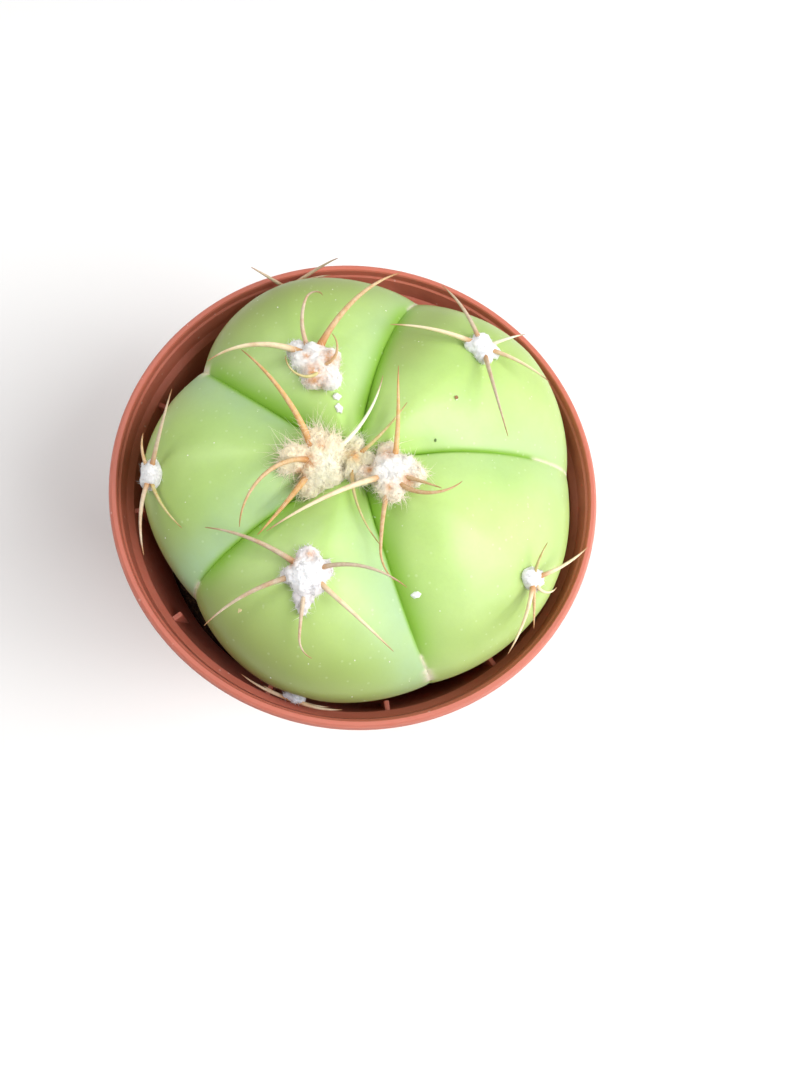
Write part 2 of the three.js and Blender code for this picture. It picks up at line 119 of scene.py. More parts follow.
# Areoles. `at` and `fall` place each on the skin: compass angle, and degrees down from the crown.
# `wool` is half-length along the rib, half-width, height; `slide` moves it towards the crown.
# `fringe` is how loose its hair is, `tint` and `heart` its colour at the edge and in the middle,
# `stains` brown spots in it and `tufts` lumps that stand out of its outline: place along and
# across, radius. A spine is (turn, lift, droop, length, sweep, hook, radius, tone).
Areole = namedtuple("Areole", "at fall knot wool fringe tint heart tufts spines slide stains",
                    defaults=(0, ()))
AREOLES = {
    "e1": Areole(
        at=194, fall=7.2, knot=1.7, wool=(3.9, 4.3, 2.7), slide=0.4, fringe=1.0,
        tint=0xFDEFD0, heart=0xFFFAE0,
        stains=((-1.6, 0.6, 1.3), (-2.9, -0.9, 0.9), (0.6, 3.0, 0.8)),
        tufts=((-3.6, 1.4, 2.2), (-4.9, 0.2, 1.4), (2.2, -2.9, 2.4), (2.6, 2.2, 2.1),
               (-1.4, -3.4, 2.1), (0.2, 3.8, 1.8)),
        spines=(
            (104, 11, 65, 21.7, 25, 0, 0.62, "amber"),
            (151, 39, 51, 19.1, 114, 0, 0.5, "brown"),
            (221, 19, 29, 13.8, 2, 0, 0.6, "amber"),
            (27, 8, 32, 17.8, 36, 0, 0.45, "pale"))),
    "c1": Areole(
        at=-30, fall=6.7, knot=1.7, wool=(4.0, 4.2, 3.0), slide=0.2, fringe=0.6,
        tint=0xFBEDD6, heart=0xFFFCF6,
        stains=((1.9, -2.0, 1.2), (-3.2, 0.4, 0.9), (-1.6, 2.9, 0.7), (3.2, 1.6, 0.9)),
        tufts=((2.7, -3.2, 1.8), (3.8, 2.4, 1.8), (-3.0, -1.2, 2.1), (-1.6, 2.9, 2.0)),
        spines=(
            (288, 32, 2, 16.1, 16, -9, 0.5, "amber"),
            (143, 17, 21, 12.8, 111, 0, 0.5, "brown"),
            (175, 33, 42, 8.3, 15, 0, 0.45, "brown"),
            (108, 11, 51, 17.7, 13, 56, 0.5, "brown"),
            (69, 39, 63, 22.2, -15, 0, 0.55, "cream"))),
    "crown": Areole(
        at=219, fall=0.4, knot=1.0, wool=(2.3, 2.3, 1.7), fringe=1.0,
        tint=0xF0EACC, heart=0xE8E0B8, stains=((0, 0, 1.0),),
        tufts=((1.5, 1.7, 1.6), (-1.6, -1.8, 1.6), (1.5, -1.5, 1.5), (-1.5, 1.7, 1.6)),
        spines=(
            (-5, 23, 24, 12, 25, 0, 0.35, "olive"),
            (223, 19, 39, 15.5, 50, 0, 0.35, "olive"))),
    "a1": Areole(
        at=116, fall=22.4, knot=1.7, wool=(4.3, 3.7, 3.1), slide=1.5, fringe=0.3,
        tint=0xF6F3EF, heart=0xFFFDFA,
        stains=((2.0, 2.2, 1.7), (3.8, -1.4, 1.9), (0.4, -1.2, 0.8), (-1.2, 2.4, 1.1)),
        tufts=((4.6, 0.8, 1.9), (3.4, -1.8, 1.7), (-2.2, -1.8, 1.9), (1.0, 2.8, 1.4)),
        spines=(
            (229, 27, 55, 17.1, 39, 0, 0.6, "cream"),
            (189, 31, 16, 12.6, -80, -117, 0.45, "grey"),
            (128, 18, 44, 22.1, -25, 0, 0.6, "brown"),
            (-10, 35, 3, 8.9, 220, 0, 0.4, "brown"),
            (16, 24, 0, 10.6, -220, 0, 0.4, "olive"))),
    "d1": Areole(
        at=249, fall=28.8, knot=1.5, wool=(3.6, 3.3, 2.8), slide=-0.3, fringe=0.35,
        tint=0xEDE6E7, heart=0xFFFEFE, stains=((0.8, 2.6, 0.8), (2.6, 0.4, 0.7)),
        tufts=((-3.4, -0.6, 1.7), (-4.6, -0.9, 1.2), (-5.7, -1.2, 0.8), (2.0, 0.8, 1.9),
               (1.2, -2.0, 1.6), (-1.5, 2.8, 1.2)),
        spines=(
            (72, 18, 47, 17.8, 31, 0, 0.5, "grey"),
            (123, 15, 33, 17.3, 29, 0, 0.5, "grey"),
            (192, 18, 37, 13, 6, 66, 0.42, "grey"),
            (251, 24, 50, 17.2, -7, 0, 0.48, "cream"),
            (310, 28, 48, 15.6, -60, 0, 0.42, "grey"))),
    "b1": Areole(
        at=45.6, fall=44.8, knot=1.2, wool=(2.4, 2.6, 2.0), fringe=0.15,
        tint=0xECEDEF, heart=0xFFFFFF,
        tufts=((1.3, 1.4, 1.6), (-1.3, -1.2, 1.6), (-1.0, 1.6, 1.4), (1.2, -1.5, 1.4)),
        spines=(
            (305, 10, 32, 15.7, 0, 0, 0.5, "cream"),
            (260, 32, 43, 12.9, -1, 0, 0.45, "grey"),
            (148, 38, 21, 7, 0, 0, 0.38, "pale"),
            (102, 22, 31, 12.2, 0, 0, 0.42, "cream"),
            (44, 10, 19, 19.3, 13, 0, 0.45, "grey"))),
    "c2": Areole(
        at=-33, fall=58.6, knot=1.1, wool=(2.4, 2.0, 1.6), fringe=0.15,
        tint=0xF1F1F1, heart=0xFFFFFF, stains=((-1.9, 0.9, 0.4),),
        tufts=((1.3, 0.3, 1.0), (-1.3, -0.2, 1.1), (-1.9, 0.9, 0.6)),
        spines=(
            (238, 28, 20, 10.4, 18, 0, 0.42, "cream"),
            (321, 24, 7, 6.2, -36, 0, 0.35, "olive"),
            (109, 23, 5, 7.7, 0, 0, 0.4, "brown"),
            (94, 25, 29, 13.1, -4, 0, 0.42, "cream"),
            (140, 26, 25, 5.2, 122, 0, 0.35, "cream"))),
    "e2": Areole(
        at=184.7, fall=60.5, knot=1.2, wool=(2.2, 2.6, 1.9), fringe=0.15,
        tint=0xE2E0E0, heart=0xF4F3F2,
        tufts=((0.5, 1.4, 1.1), (-0.4, -1.5, 1.1), (1.0, -0.6, 1.1)),
        spines=(
            (42, 13, 5, 14.4, 0, 0, 0.42, "grey"),
            (84, 38, 51, 6.2, -5, 0, 0.36, "brown"),
            (273, 30, 48, 13, -14, 0, 0.42, "grey"),
            (291, 7, 37, 10.6, 9, 0, 0.36, "olive"))),
    "d2": Areole(
        at=253, fall=94, knot=0.9, wool=(1.7, 1.9, 1.2), fringe=0.2,
        tint=0xB9BDC6, heart=0xD5D9E2, tufts=((0.2, 1.2, 0.8), (0.1, -1.2, 0.8)),
        spines=(
            (97, 3, 23, 9.3, 2, 0, 0.38, "grey"),
            (283, 8, 28, 8, 0, 0, 0.38, "grey"),
            (96, 2, 20, 5, 0, 0, 0.32, "grey"),
            (252, 5, 19, 5.9, -1, 0, 0.32, "grey"))),
    "a2": Areole(
        at=112, fall=88, knot=1.0, wool=(1.8, 1.9, 1.1), fringe=0.2,
        tint=0xDCDAD6, heart=0xF2F0EC, tufts=((0.2, 1.2, 0.8), (0.1, -1.2, 0.8)),
        spines=(
            (327, 13, 4, 9, -2, 0, 0.4, "grey"),
            (77, 9, 36, 12.3, -51, 0, 0.4, "grey"),
            (82, 4, 24, 8, 0, 0, 0.36, "grey"),
            (278, 4, 24, 8, 0, 0, 0.36, "grey"))),
}

# Middle colour of a spine by tone.
SPINE_TONES = {
    "amber": 0xDCA65C,
    "brown": 0xC8A06A,
    "cream": 0xF0DDB4,
    "pale": 0xEFF2D6,
    "grey": 0xC4AE92,
    "olive": 0xC2B66C,
}

# Dry scars in the furrows: furrow name, from and to degrees down from the crown, half-width.
SCARS = (
    ("b", 50, 92, 0.3),
    ("c", 60, 74, 0.3),
    ("c", 71, 88, 0.85),
    ("e", 57, 74, 1.2),
    ("e", 70, 96, 0.7),
    ("a", 58, 90, 0.35),
    ("d", 62, 92, 0.4),
)

# Marks on the skin: compass, fall, half-sizes along, across and off the skin, colour.
MARKS = (
    (111.1, 11.6, (0.6, 0.75, 0.4), 0xFCFCF8),
    (113.3, 9.0, (0.8, 0.6, 0.4), 0xFCFCF8),
    (293.0, 35.8, (0.55, 0.8, 0.35), 0xF6FBF4),
    (233.3, 52.0, (0.6, 0.42, 0.16), 0xE0CD95),
    (33.9, 25.5, (0.32, 0.3, 0.07), 0x94602F),
    (16.3, 16.6, (0.2, 0.28, 0.06), 0x4B6B28),
    (331.5, 66.5, (0.32, 0.3, 0.3), 0x2C2824),
)


# ---------------------------------------------------------------- settings

def colour(name, description, code):
    return FloatVectorProperty(name=name, description=description, default=from_hex(code),
                               subtype="COLOR", min=0, max=1)


def length(name, description, default):
    return FloatProperty(name=name, description=description, default=default,
                         min=0, unit="LENGTH", precision=5)


def count(name, description, default, least=0):
    return IntProperty(name=name, description=description, default=default, min=least)


def power(name, description, default):
    return FloatProperty(name=name, description=description, default=default, min=0, unit="POWER")


def part(kind, name, description):
    return PointerProperty(type=kind, name=name, description=description)


class PotSettings(PropertyGroup):
    """Sizes and colours of the pot."""
    mouth_radius: length("Mouth radius", "Inside edge of the lip", RIM_RADIUS - 1.45 * MM)
    lip_round: length("Lip rounding", "How much the lip narrows towards its top", 0.7 * MM)
    collar_depth: length("Collar depth", "Height of the thick band under the rim", 9 * MM)
    collar_step: length("Collar step", "How far that band stands out of the wall", 1.9 * MM)
    ledge_depth: length("Ledge depth", "Step inside, below the rim", 6 * MM)
    ledge_radius: length("Ledge radius", "Inner wall just under that step", 39.4 * MM)
    base_radius: length("Base radius", "Radius of the flat underside", 29 * MM)
    wall: length("Wall", "Thickness of the moulded wall", 1.05 * MM)
    floor: length("Floor", "Thickness of the moulded floor", 1.6 * MM)
    lugs: count("Lugs", "Stacking lugs round the inside", 12)
    lug_angle: FloatProperty(name="Lug angle", description="Compass angle of the first lug",
                             default=math.radians(-22.2), subtype="ANGLE", unit="ROTATION")
    plastic: colour("Plastic", "Colour of the moulded plastic", 0xC96F5B)
    # Lighter plastic for real wear and scuffs, also used as a painted highlight on the lip and collar
    # edges.
    worn_and_highlight: colour("Worn plastic", "Rubbed and dusty plastic", 0xCC8270)


class SoilSettings(PropertyGroup):
    """Sizes and colours of the potting soil."""
    grains: count("Grains", "Loose grains on the soil", 520)
    grain: length("Grain", "Middle radius of a grain", 0.8 * MM)
    dark: colour("Dark", "Moist soil", 0x2A1D15)
    light: colour("Light", "Dry bark and grit", 0x6B4C36)


class BodySettings(PropertyGroup):
    """Fineness and colours of the plant's body."""
    columns: count("Columns", "Columns of faces on each rib", 52, least=8)
    rows: count("Rows", "Rows of faces from crown to root", 170, least=16)
    flesh: colour("Flesh", "Yellow-green of the ribs", 0xC2E088)
    shade: colour("Shade", "Deeper green in soft patches", 0xABCF70)
    # The bloom colour is also painted sheen where the flanks face the light.
    bloom_and_sheen: colour("Bloom", "Waxy bluish bloom on the flanks", 0xA8C69A)
    # The crease green also lies as painted shade where its strip widens on flanks turned from the light.
    crease_and_shade: colour("Crease", "Saturated green in the furrows", 0x86B637)
    # Olive is also painted shade, low down and on the side turned from the light.
    olive: colour("Olive", "Older, sunned skin", 0x8C8F4C)
    scar: colour("Scar", "Dry, corky skin", 0xDDD6BA)


class WoolSettings(PropertyGroup):
    """Hair of the areoles."""
    felt: length("Felt", "Fineness of the felted core", 0.2 * MM)
    hair: length("Hair", "Middle length of a hair", 2.0 * MM)
    hair_radius: length("Hair radius", "Radius of a hair at its root", 0.06 * MM)
    hairs: count("Hairs", "Hairs on the largest areole", 1300)
    stain: colour("Stain", "Brown, old wool", 0xD8903A)


class SpineSettings(PropertyGroup):
    """Fineness and colours of the spines."""
    steps: count("Steps", "Rings of faces along a spine", 26, least=6)
    tip_radius: length("Tip radius", "Radius of a spine's point", 0.04 * MM)
    root: colour("Root", "Orange-brown root", 0xBC7A34)
    tip: colour("Tip", "Brown point", 0xA4672F)


class MarkSettings(PropertyGroup):
    """Small marks on the skin."""
    specks: count("Specks", "Fine white specks", 90)
    speck: length("Speck", "Middle half-size of a speck", 0.1 * MM)


class StageSettings(PropertyGroup):
    """Floor, light and camera."""
    floor: colour("Floor", "Pale floor", 0xFBFBFA)
    key: power("Key light", "Power of the light from the front right", 2.3)
    side: power("Side light", "Power of the low light from the right", 1.5)
    back: power("Back light", "Power of the light from the far left", 1.15)
    fill: FloatProperty(name="Fill light", description="Strength of the light all round",
                        default=0.22, min=0)
    eye: FloatVectorProperty(name="Eye", description="Where the camera stands", subtype="XYZ",
                             unit="LENGTH", default=(-9.26 * MM, -46.5 * MM, 203.24 * MM))
    lens: FloatProperty(name="Lens", description="Focal length on a 36 mm sensor", default=27.03,
                        min=1, unit="CAMERA")


class CactusSettings(PropertyGroup):
    """All settings of the potted cactus."""
    pot: part(PotSettings, "Pot", "The pot")
    soil: part(SoilSettings, "Soil", "The potting soil")
    body: part(BodySettings, "Body", "The plant's body")
    wool: part(WoolSettings, "Wool", "The areoles' wool")
    spines: part(SpineSettings, "Spines", "The spines")
    marks: part(MarkSettings, "Marks", "Marks on the skin")
    stage: part(StageSettings, "Stage", "Floor, light and camera")


# ---------------------------------------------------------------- modelling helpers

def deselect_all():
    bpy.ops.object.select_all(action="DESELECT")


def activate(*objects):
    """Selects these objects alone and makes the first the active one."""
    deselect_all()
    for piece in objects:
        piece.select_set(True)
    bpy.context.view_layer.objects.active = objects[0]


def named(piece, name):
    piece.name = piece.data.name = name
    return piece


def join(objects, name):
    """Joins mesh objects into the first of them."""
    activate(*objects)
    if len(objects) > 1:
        bpy.ops.object.join()
    return named(objects[0], name)


def settle(piece):
    """Moves an object's place into its mesh, so that it sits at the origin."""
    activate(piece)
    bpy.ops.object.transform_apply(location=True, rotation=True, scale=True)


def apply_modifier(piece, kind, **values):
    activate(piece)
    modifier = piece.modifiers.new(kind.title(), kind)
    for key, value in values.items():
        setattr(modifier, key, value)
    bpy.ops.object.modifier_apply(modifier=modifier.name)


def new_ball(fineness):
    """A faceted ball of radius one."""
    deselect_all()
    bpy.ops.mesh.primitive_ico_sphere_add(subdivisions=fineness, radius=1)
    return bpy.context.object


def new_piece(name, points, faces):
    """An object with a mesh of its own, from its points and faces."""
    mesh = bpy.data.meshes.new(name)
    mesh.from_pydata(points.tolist(), [], faces)
    piece = bpy.data.objects.new(name, mesh)
    bpy.context.scene.collection.objects.link(piece)
    return piece


def turned(name, profile, sides):
    """A solid of revolution, pulled up ring by ring from a disc. Profile points are (radius, z),
    and the stack is closed on the axis at both ends."""
    deselect_all()
    (radius, height), rest = profile[0], profile[1:]
    bpy.ops.mesh.primitive_circle_add(vertices=sides, radius=radius, fill_type="TRIFAN",
                                      location=(0, 0, height))
    piece = bpy.context.object
    settle(piece)
    bpy.ops.object.mode_set(mode="EDIT")
    bpy.ops.mesh.select_all(action="SELECT")
    bpy.ops.mesh.region_to_loop()
    for next_radius, next_height in rest:
        bpy.ops.mesh.extrude_edges_move()
        scale = next_radius / radius
        bpy.ops.transform.resize(value=(scale, scale, 1), center_override=(0, 0, height))
        bpy.ops.transform.translate(value=(0, 0, next_height - height))
        radius, height = next_radius, next_height
    bpy.ops.mesh.extrude_edges_move()
    bpy.ops.mesh.merge(type="CENTER")
    bpy.ops.mesh.select_all(action="SELECT")
    bpy.ops.mesh.normals_make_consistent(inside=False)
    bpy.ops.object.mode_set(mode="OBJECT")
    return named(piece, name)


def vertex_vectors(piece, kind):
    flat = np.empty(len(piece.data.vertices) * 3)
    piece.data.vertices.foreach_get(kind, flat)
    return flat.reshape(-1, 3)


def points_of(piece):
    return vertex_vectors(piece, "co")


def normals_of(piece):
    return vertex_vectors(piece, "normal")


def set_points(piece, points):
    piece.data.vertices.foreach_set("co", np.ascontiguousarray(points, dtype=np.float32).ravel())
    piece.data.update()


def set_value(piece, name, values):
    """Stores one number at each vertex, for the piece's material."""
    attribute = piece.data.attributes.new(name, "FLOAT", "POINT")
    attribute.data.foreach_set("value", np.ascontiguousarray(values, dtype=np.float32))


def set_tint(piece, tints):
    """Stores a colour at each vertex, or one at all of them, for the piece's material."""
    attribute = piece.data.attributes.new("tint", "FLOAT_COLOR", "POINT")
    colours = np.ones((len(piece.data.vertices), 4), np.float32)
    colours[:, :3] = tints
    attribute.data.foreach_set("color", colours.ravel())


SHARP_EDGE = math.radians(38)


def hand_over(piece, material, slot, *nodes):
    """Gives a finished piece its material and its place in the object."""
    piece.data.materials.clear()
    piece.data.materials.append(material)
    activate(piece)
    bpy.ops.object.shade_smooth_by_angle(angle=SHARP_EDGE)
    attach(piece, BODY)
    if nodes:
        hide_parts(*nodes)


def smooth(x):
    t = np.clip(x, 0, 1)
    return t * t * (3 - 2 * t)


def rise(value, start, end):
    """Rises smoothly from 0 at the start to 1 at the end, which may also lie below it."""
    return smooth((value - start) / (end - start))


def bell(distance, width):
    """1 at no distance, and next to nothing at twice the width."""
    return np.exp(-((distance / width) ** 2))


def unit(vectors, guard=0.0):
    """Rows of an array at length one. The guard keeps a row of zeros from failing."""
    return vectors / (np.linalg.norm(vectors, axis=1, keepdims=True) + guard)


# ---------------------------------------------------------------- the skin's shape

def furrow_angle(rib, fall):
    """Compass degrees of the furrow on a rib's clockwise side, at a fall in radians."""
    turns, row = np.divmod(rib, RIB_COUNT)
    towards_crown = np.where(fall < math.pi / 2, 1 - np.sin(fall), 0)
    return FURROW_AT[row] + 360 * turns + DRIFT[row] * towards_crown


def skin_points(rib, share, fall):
    """Points on the skin, in millimetres, for arrays of a rib's number, the share of the way
    across it and the fall from the crown in radians. Also gives each one's distance from its
    nearer furrow."""
    rib, share, fall = np.broadcast_arrays(rib, share, fall)
    start = furrow_angle(rib, fall)
    span = np.radians(furrow_angle(rib + 1, fall) - start)
    compass = np.radians(start) + share * span
    from_middle = np.abs(2 * share - 1)
    sine = np.maximum(np.sin(fall), 0)
    cosine = np.cos(fall)
    above = cosine > 0
    tall = np.where(above, SHAPE["rise"], SHAPE["under"])
    power = np.where(above, SHAPE["top_power"], SHAPE["under_power"])

    radius = SHAPE["radius"] * sine ** (2 / power)
    height = np.sign(cosine) * tall * np.abs(cosine) ** (2 / power)
    normal_out = radius ** (power - 1) / SHAPE["radius"] ** power
    normal_up = np.sign(cosine) * np.abs(height) ** (power - 1) / tall ** power
    size = np.hypot(normal_out, normal_up)
    normal_out, normal_up = normal_out / size, normal_up / size

    row, following = rib % RIB_COUNT, (rib + 1) % RIB_COUNT
    side = SIDE_DEPTH[row] * (1 - share) + SIDE_DEPTH[following] * share
    deep = side + (SHAPE["furrow_depth"] - side) * np.maximum(cosine, 0) ** SHAPE["side_power"]
    full = np.where(above, deep, side * np.sqrt(np.maximum(1 + cosine, 0)))
    steep = SHAPE["crease_share"]
    groove = ((1 - steep) * from_middle ** SHAPE["furrow_slope"]
              + steep * from_middle ** SHAPE["furrow_crease"])
    bulge = REACH[row] * (1 - from_middle ** 2) * sine ** 2
    offset = bulge - full * smooth(radius / SHAPE["furrow_fade"]) * groove

    out = radius + offset * normal_out
    dip = np.where(above, SHAPE["crown_dip"] * bell(out, SHAPE["dip_radius"]), 0)
    lean = SHAPE["crown_shift"] * np.maximum(cosine, 0)
    points = np.stack([
        SHAPE["centre"][0] + lean + out * np.cos(compass),
        SHAPE["centre"][1] + out * np.sin(compass),
        SHAPE["equator"] + height + offset * normal_up - dip,
    ], axis=-1)
    to_furrow = np.minimum(share, 1 - share) * span * out
    return points, to_furrow


def skin_at(compass, fall_degrees):
    """The point of the skin at a compass angle and a fall, in millimetres."""
    fall = math.radians(fall_degrees)
    for rib in range(RIB_COUNT):
        start = float(furrow_angle(rib, fall))
        span = float(furrow_angle(rib + 1, fall)) - start
        past = (compass - start) % 360
        if past < span:
            return Vector(skin_points(rib, past / span, fall)[0])
    return Vector(skin_points(0, 0.0, fall)[0])


class Seat:
    """A place on the skin: its point, and the ways to the crown, across the rib and out."""

    def __init__(self, at, fall, step=0.3):
        self.origin = skin_at(at, fall)
        to_crown = (skin_at(at, fall - step) - skin_at(at, fall + step)).normalized()
        around = (skin_at(at + step, fall) - skin_at(at - step, fall)).normalized()
        self.out = around.cross(to_crown).normalized()
        self.up = (to_crown - self.out * to_crown.dot(self.out)).normalized()
        self.across = self.out.cross(self.up)
        self.centre = np.array(self.origin)
        self.axes = np.array([self.up, self.across, self.out])

    def place(self, along, across, out):
        """A point by its place along the rib, across it and off the skin."""
        return self.origin + self.up * along + self.across * across + self.out * out

    def placed(self, points):
        """The same for the rows of an array."""
        return points @ self.axes + self.centre


# ---------------------------------------------------------------- material helpers

class Shading:
    """A shader node tree, and the coordinates that its textures follow."""

    def __init__(self, tree):
        self.tree = tree

    def add(self, kind, inputs=None, **settings):
        """Adds a node. An input is a value, or a socket that is linked to it."""
        node = self.tree.nodes.new(kind)
        for key, value in settings.items():
            setattr(node, key, value)
        for key, value in (inputs or {}).items():
            self.feed(node.inputs[key], value)
        return node

    def feed(self, socket, value):
        if isinstance(value, bpy.types.NodeSocket):
            self.tree.links.new(value, socket)
        elif socket.type == "RGBA" and len(value) == 3:
            socket.default_value = (*value, 1)
        else:
            socket.default_value = value

    def mixed(self, factor, first, second, data_type="RGBA"):
        """Two colours, or two numbers, mixed by a factor."""
        first_at, second_at, result_at = {"RGBA": (6, 7, 2), "FLOAT": (2, 3, 0)}[data_type]
        return self.add("ShaderNodeMix", {0: factor, first_at: first, second_at: second},
                        data_type=data_type).outputs[result_at]

    def maths(self, operation, *values):
        return self.add("ShaderNodeMath", dict(enumerate(values)), operation=operation).outputs[0]

    def product(self, first, *others):
        for other in others:
            first = self.maths("MULTIPLY", first, other)
        return first

    def ramp(self, value, low, high, to_low=0.0, to_high=1.0):
        """A value's way from low to high, smoothed and clamped."""
        return self.add("ShaderNodeMapRange", {
            "Value": value, "From Min": low, "From Max": high, "To Min": to_low, "To Max": to_high,
        }, interpolation_type="SMOOTHSTEP").outputs["Result"]

    def noise(self, scale, detail, roughness=0.5, stretch=None):
        place = self.place
        if stretch:
            place = self.add("ShaderNodeMapping", {"Vector": place, "Scale": stretch}).outputs["Vector"]
        return self.add("ShaderNodeTexNoise", {
            "Vector": place, "Scale": scale, "Detail": detail, "Roughness": roughness,
        }).outputs["Fac"]


class Effect(Shading):
    """A node group that turns coordinates and a few numbers into masks."""

    def __init__(self, name, inputs, outputs):
        super().__init__(bpy.data.node_groups.new(name, "ShaderNodeTree"))
        sockets, nodes = self.tree.interface, self.tree.nodes
        sockets.new_socket("Vector", in_out="INPUT", socket_type="NodeSocketVector")
        for label, default in inputs.items():
            socket = sockets.new_socket(label, in_out="INPUT", socket_type="NodeSocketFloat")
            socket.default_value = default
        for label in outputs:
            sockets.new_socket(label, in_out="OUTPUT", socket_type="NodeSocketFloat")
        self.given = nodes.new("NodeGroupInput").outputs
        self.result = nodes.new("NodeGroupOutput").inputs
        self.place = self.given["Vector"]


def grain_group(name):
    """Fine moulded or grown grain: a mask of soft light and dark, and a height for bumps."""
    effect = Effect(name, {"Scale": 1000.0}, ("Mask", "Height"))
    scale = effect.given["Scale"]
    broad = effect.noise(scale, 3.0, 0.6)
    fine = effect.noise(effect.product(scale, 3.7), 2.0, 0.7)
    both = effect.maths("ADD", effect.product(broad, 0.6), effect.product(fine, 0.4))
    effect.feed(effect.result["Mask"], effect.ramp(both, 0.3, 0.7))
    effect.feed(effect.result["Height"], both)
    return effect.tree


def fleck_group(name):
    """Scattered small flecks, such as dust, pores or grit."""
    effect = Effect(name, {"Scale": 500.0, "Size": 0.15, "Share": 0.2}, ("Mask",))
    cells = effect.add("ShaderNodeTexVoronoi",
                       {"Vector": effect.place, "Scale": effect.given["Scale"]}).outputs
    near = effect.maths("LESS_THAN", cells["Distance"], effect.given["Size"])
    cell = effect.add("ShaderNodeSeparateColor", {"Color": cells["Color"]})
    chosen = effect.maths("LESS_THAN", cell.outputs["Red"], effect.given["Share"])
    effect.feed(effect.result["Mask"], effect.product(near, chosen))
    return effect.tree


class Finish(Shading):
    """A new material: its shader, the object's own coordinates and the tone so far. The tone
    starts with the tint that is stored at the piece's vertices, if none is given."""

    def __init__(self, name, tone=None, **constants):
        self.material = bpy.data.materials.new(name)
        self.material.use_nodes = True
        super().__init__(self.material.node_tree)
        self.tree.nodes.clear()
        self.shader = self.add("ShaderNodeBsdfPrincipled")
        self.add("ShaderNodeOutputMaterial", {"Surface": self.shader.outputs["BSDF"]})
        self.place = self.add("ShaderNodeTexCoord").outputs["Object"]
        self.tone = self.stored("tint", "Color") if tone is None else tone
        for key, value in constants.items():
            self.drive(key.replace("_", " "), value)

    def drive(self, socket, value):
        self.feed(self.shader.inputs[socket], value)

    def stored(self, name, output="Fac"):
        """What is stored at the piece's vertices under a name."""
        return self.add("ShaderNodeAttribute", attribute_name=name).outputs[output]

    def effect(self, name, build, **values):
        """A shared effect, which is built when the first material asks for it."""
        group = bpy.data.node_groups.get(name) or build(name)
        return self.add("ShaderNodeGroup", {"Vector": self.place, **values}, node_tree=group).outputs

    def grain(self, scale):
        return self.effect("Fine Grain", grain_group, Scale=scale)

    def flecks(self, scale, size, share):
        return self.effect("Scattered Flecks", fleck_group, Scale=scale, Size=size, Share=share)["Mask"]

    def lay(self, colour, *masks):
        """Lays a colour over the tone so far, as strongly as the product of the masks."""
        self.tone = self.mixed(self.product(*masks), self.tone, colour)

    def finished(self, height, distance, strength):
        """The material, with its tone and a bump of this height joined to the shader."""
        self.drive("Base Color", self.tone)
        self.drive("Normal", self.add("ShaderNodeBump", {
            "Height": height, "Distance": distance, "Strength": strength}).outputs["Normal"])
        return self.material


def darker(tone, share):
    return tuple(share * value for value in tone)


# ---------------------------------------------------------------- the pot

POT_SIDES = 192
BASE_ROUND = 0.8 * MM
LIP_CORNER = 0.3 * MM
MOUTH_STEP = 1.9 * MM           # depth of the straight mouth
HOLES = {"count": 6, "radius": 3.5 * MM, "ring": 18 * MM, "sides": 32}
LUG = {"drop": 0.3 * MM, "height": 8.5 * MM, "reach": 1.7 * MM, "width": 0.9 * MM}


def pot_plastic(settings):
    """Matt moulded plastic, lighter on its edges from wear and a painted highlight, with dust and a few
    scuffs.
    """
    look = Finish("Pot plastic", settings.plastic, Subsurface_Weight=0.15,
                  Subsurface_Radius=(1.0, 0.35, 0.25), Subsurface_Scale=2 * MM)
    fine = look.grain(scale=900.0)
    cloudy = look.noise(scale=60.0, detail=3.0)
    look.lay(darker(settings.plastic, 0.86), look.ramp(cloudy, 0.3, 0.7, 0.0, 0.35))
    # Lip and collar edges lighter: partly wear, partly a painted highlight.
    look.lay(settings.worn_and_highlight, look.stored("edge"), look.ramp(cloudy, 0.2, 0.7, 0.15, 0.6))
    look.lay(settings.worn_and_highlight, fine["Mask"], 0.22)
    rubbed = look.noise(scale=260.0, detail=4.0, roughness=0.7, stretch=(1, 1, 6))
    look.lay(settings.worn_and_highlight, look.ramp(rubbed, 0.62, 0.72), 0.3)
    look.lay(from_hex(0xF3D9CC), look.flecks(scale=700.0, size=0.16, share=0.1), 0.3)
    look.drive("Roughness", look.ramp(fine["Mask"], 0.0, 1.0, 0.42, 0.6))
    return look.finished(fine["Height"], distance=0.06 * MM, strength=0.5)


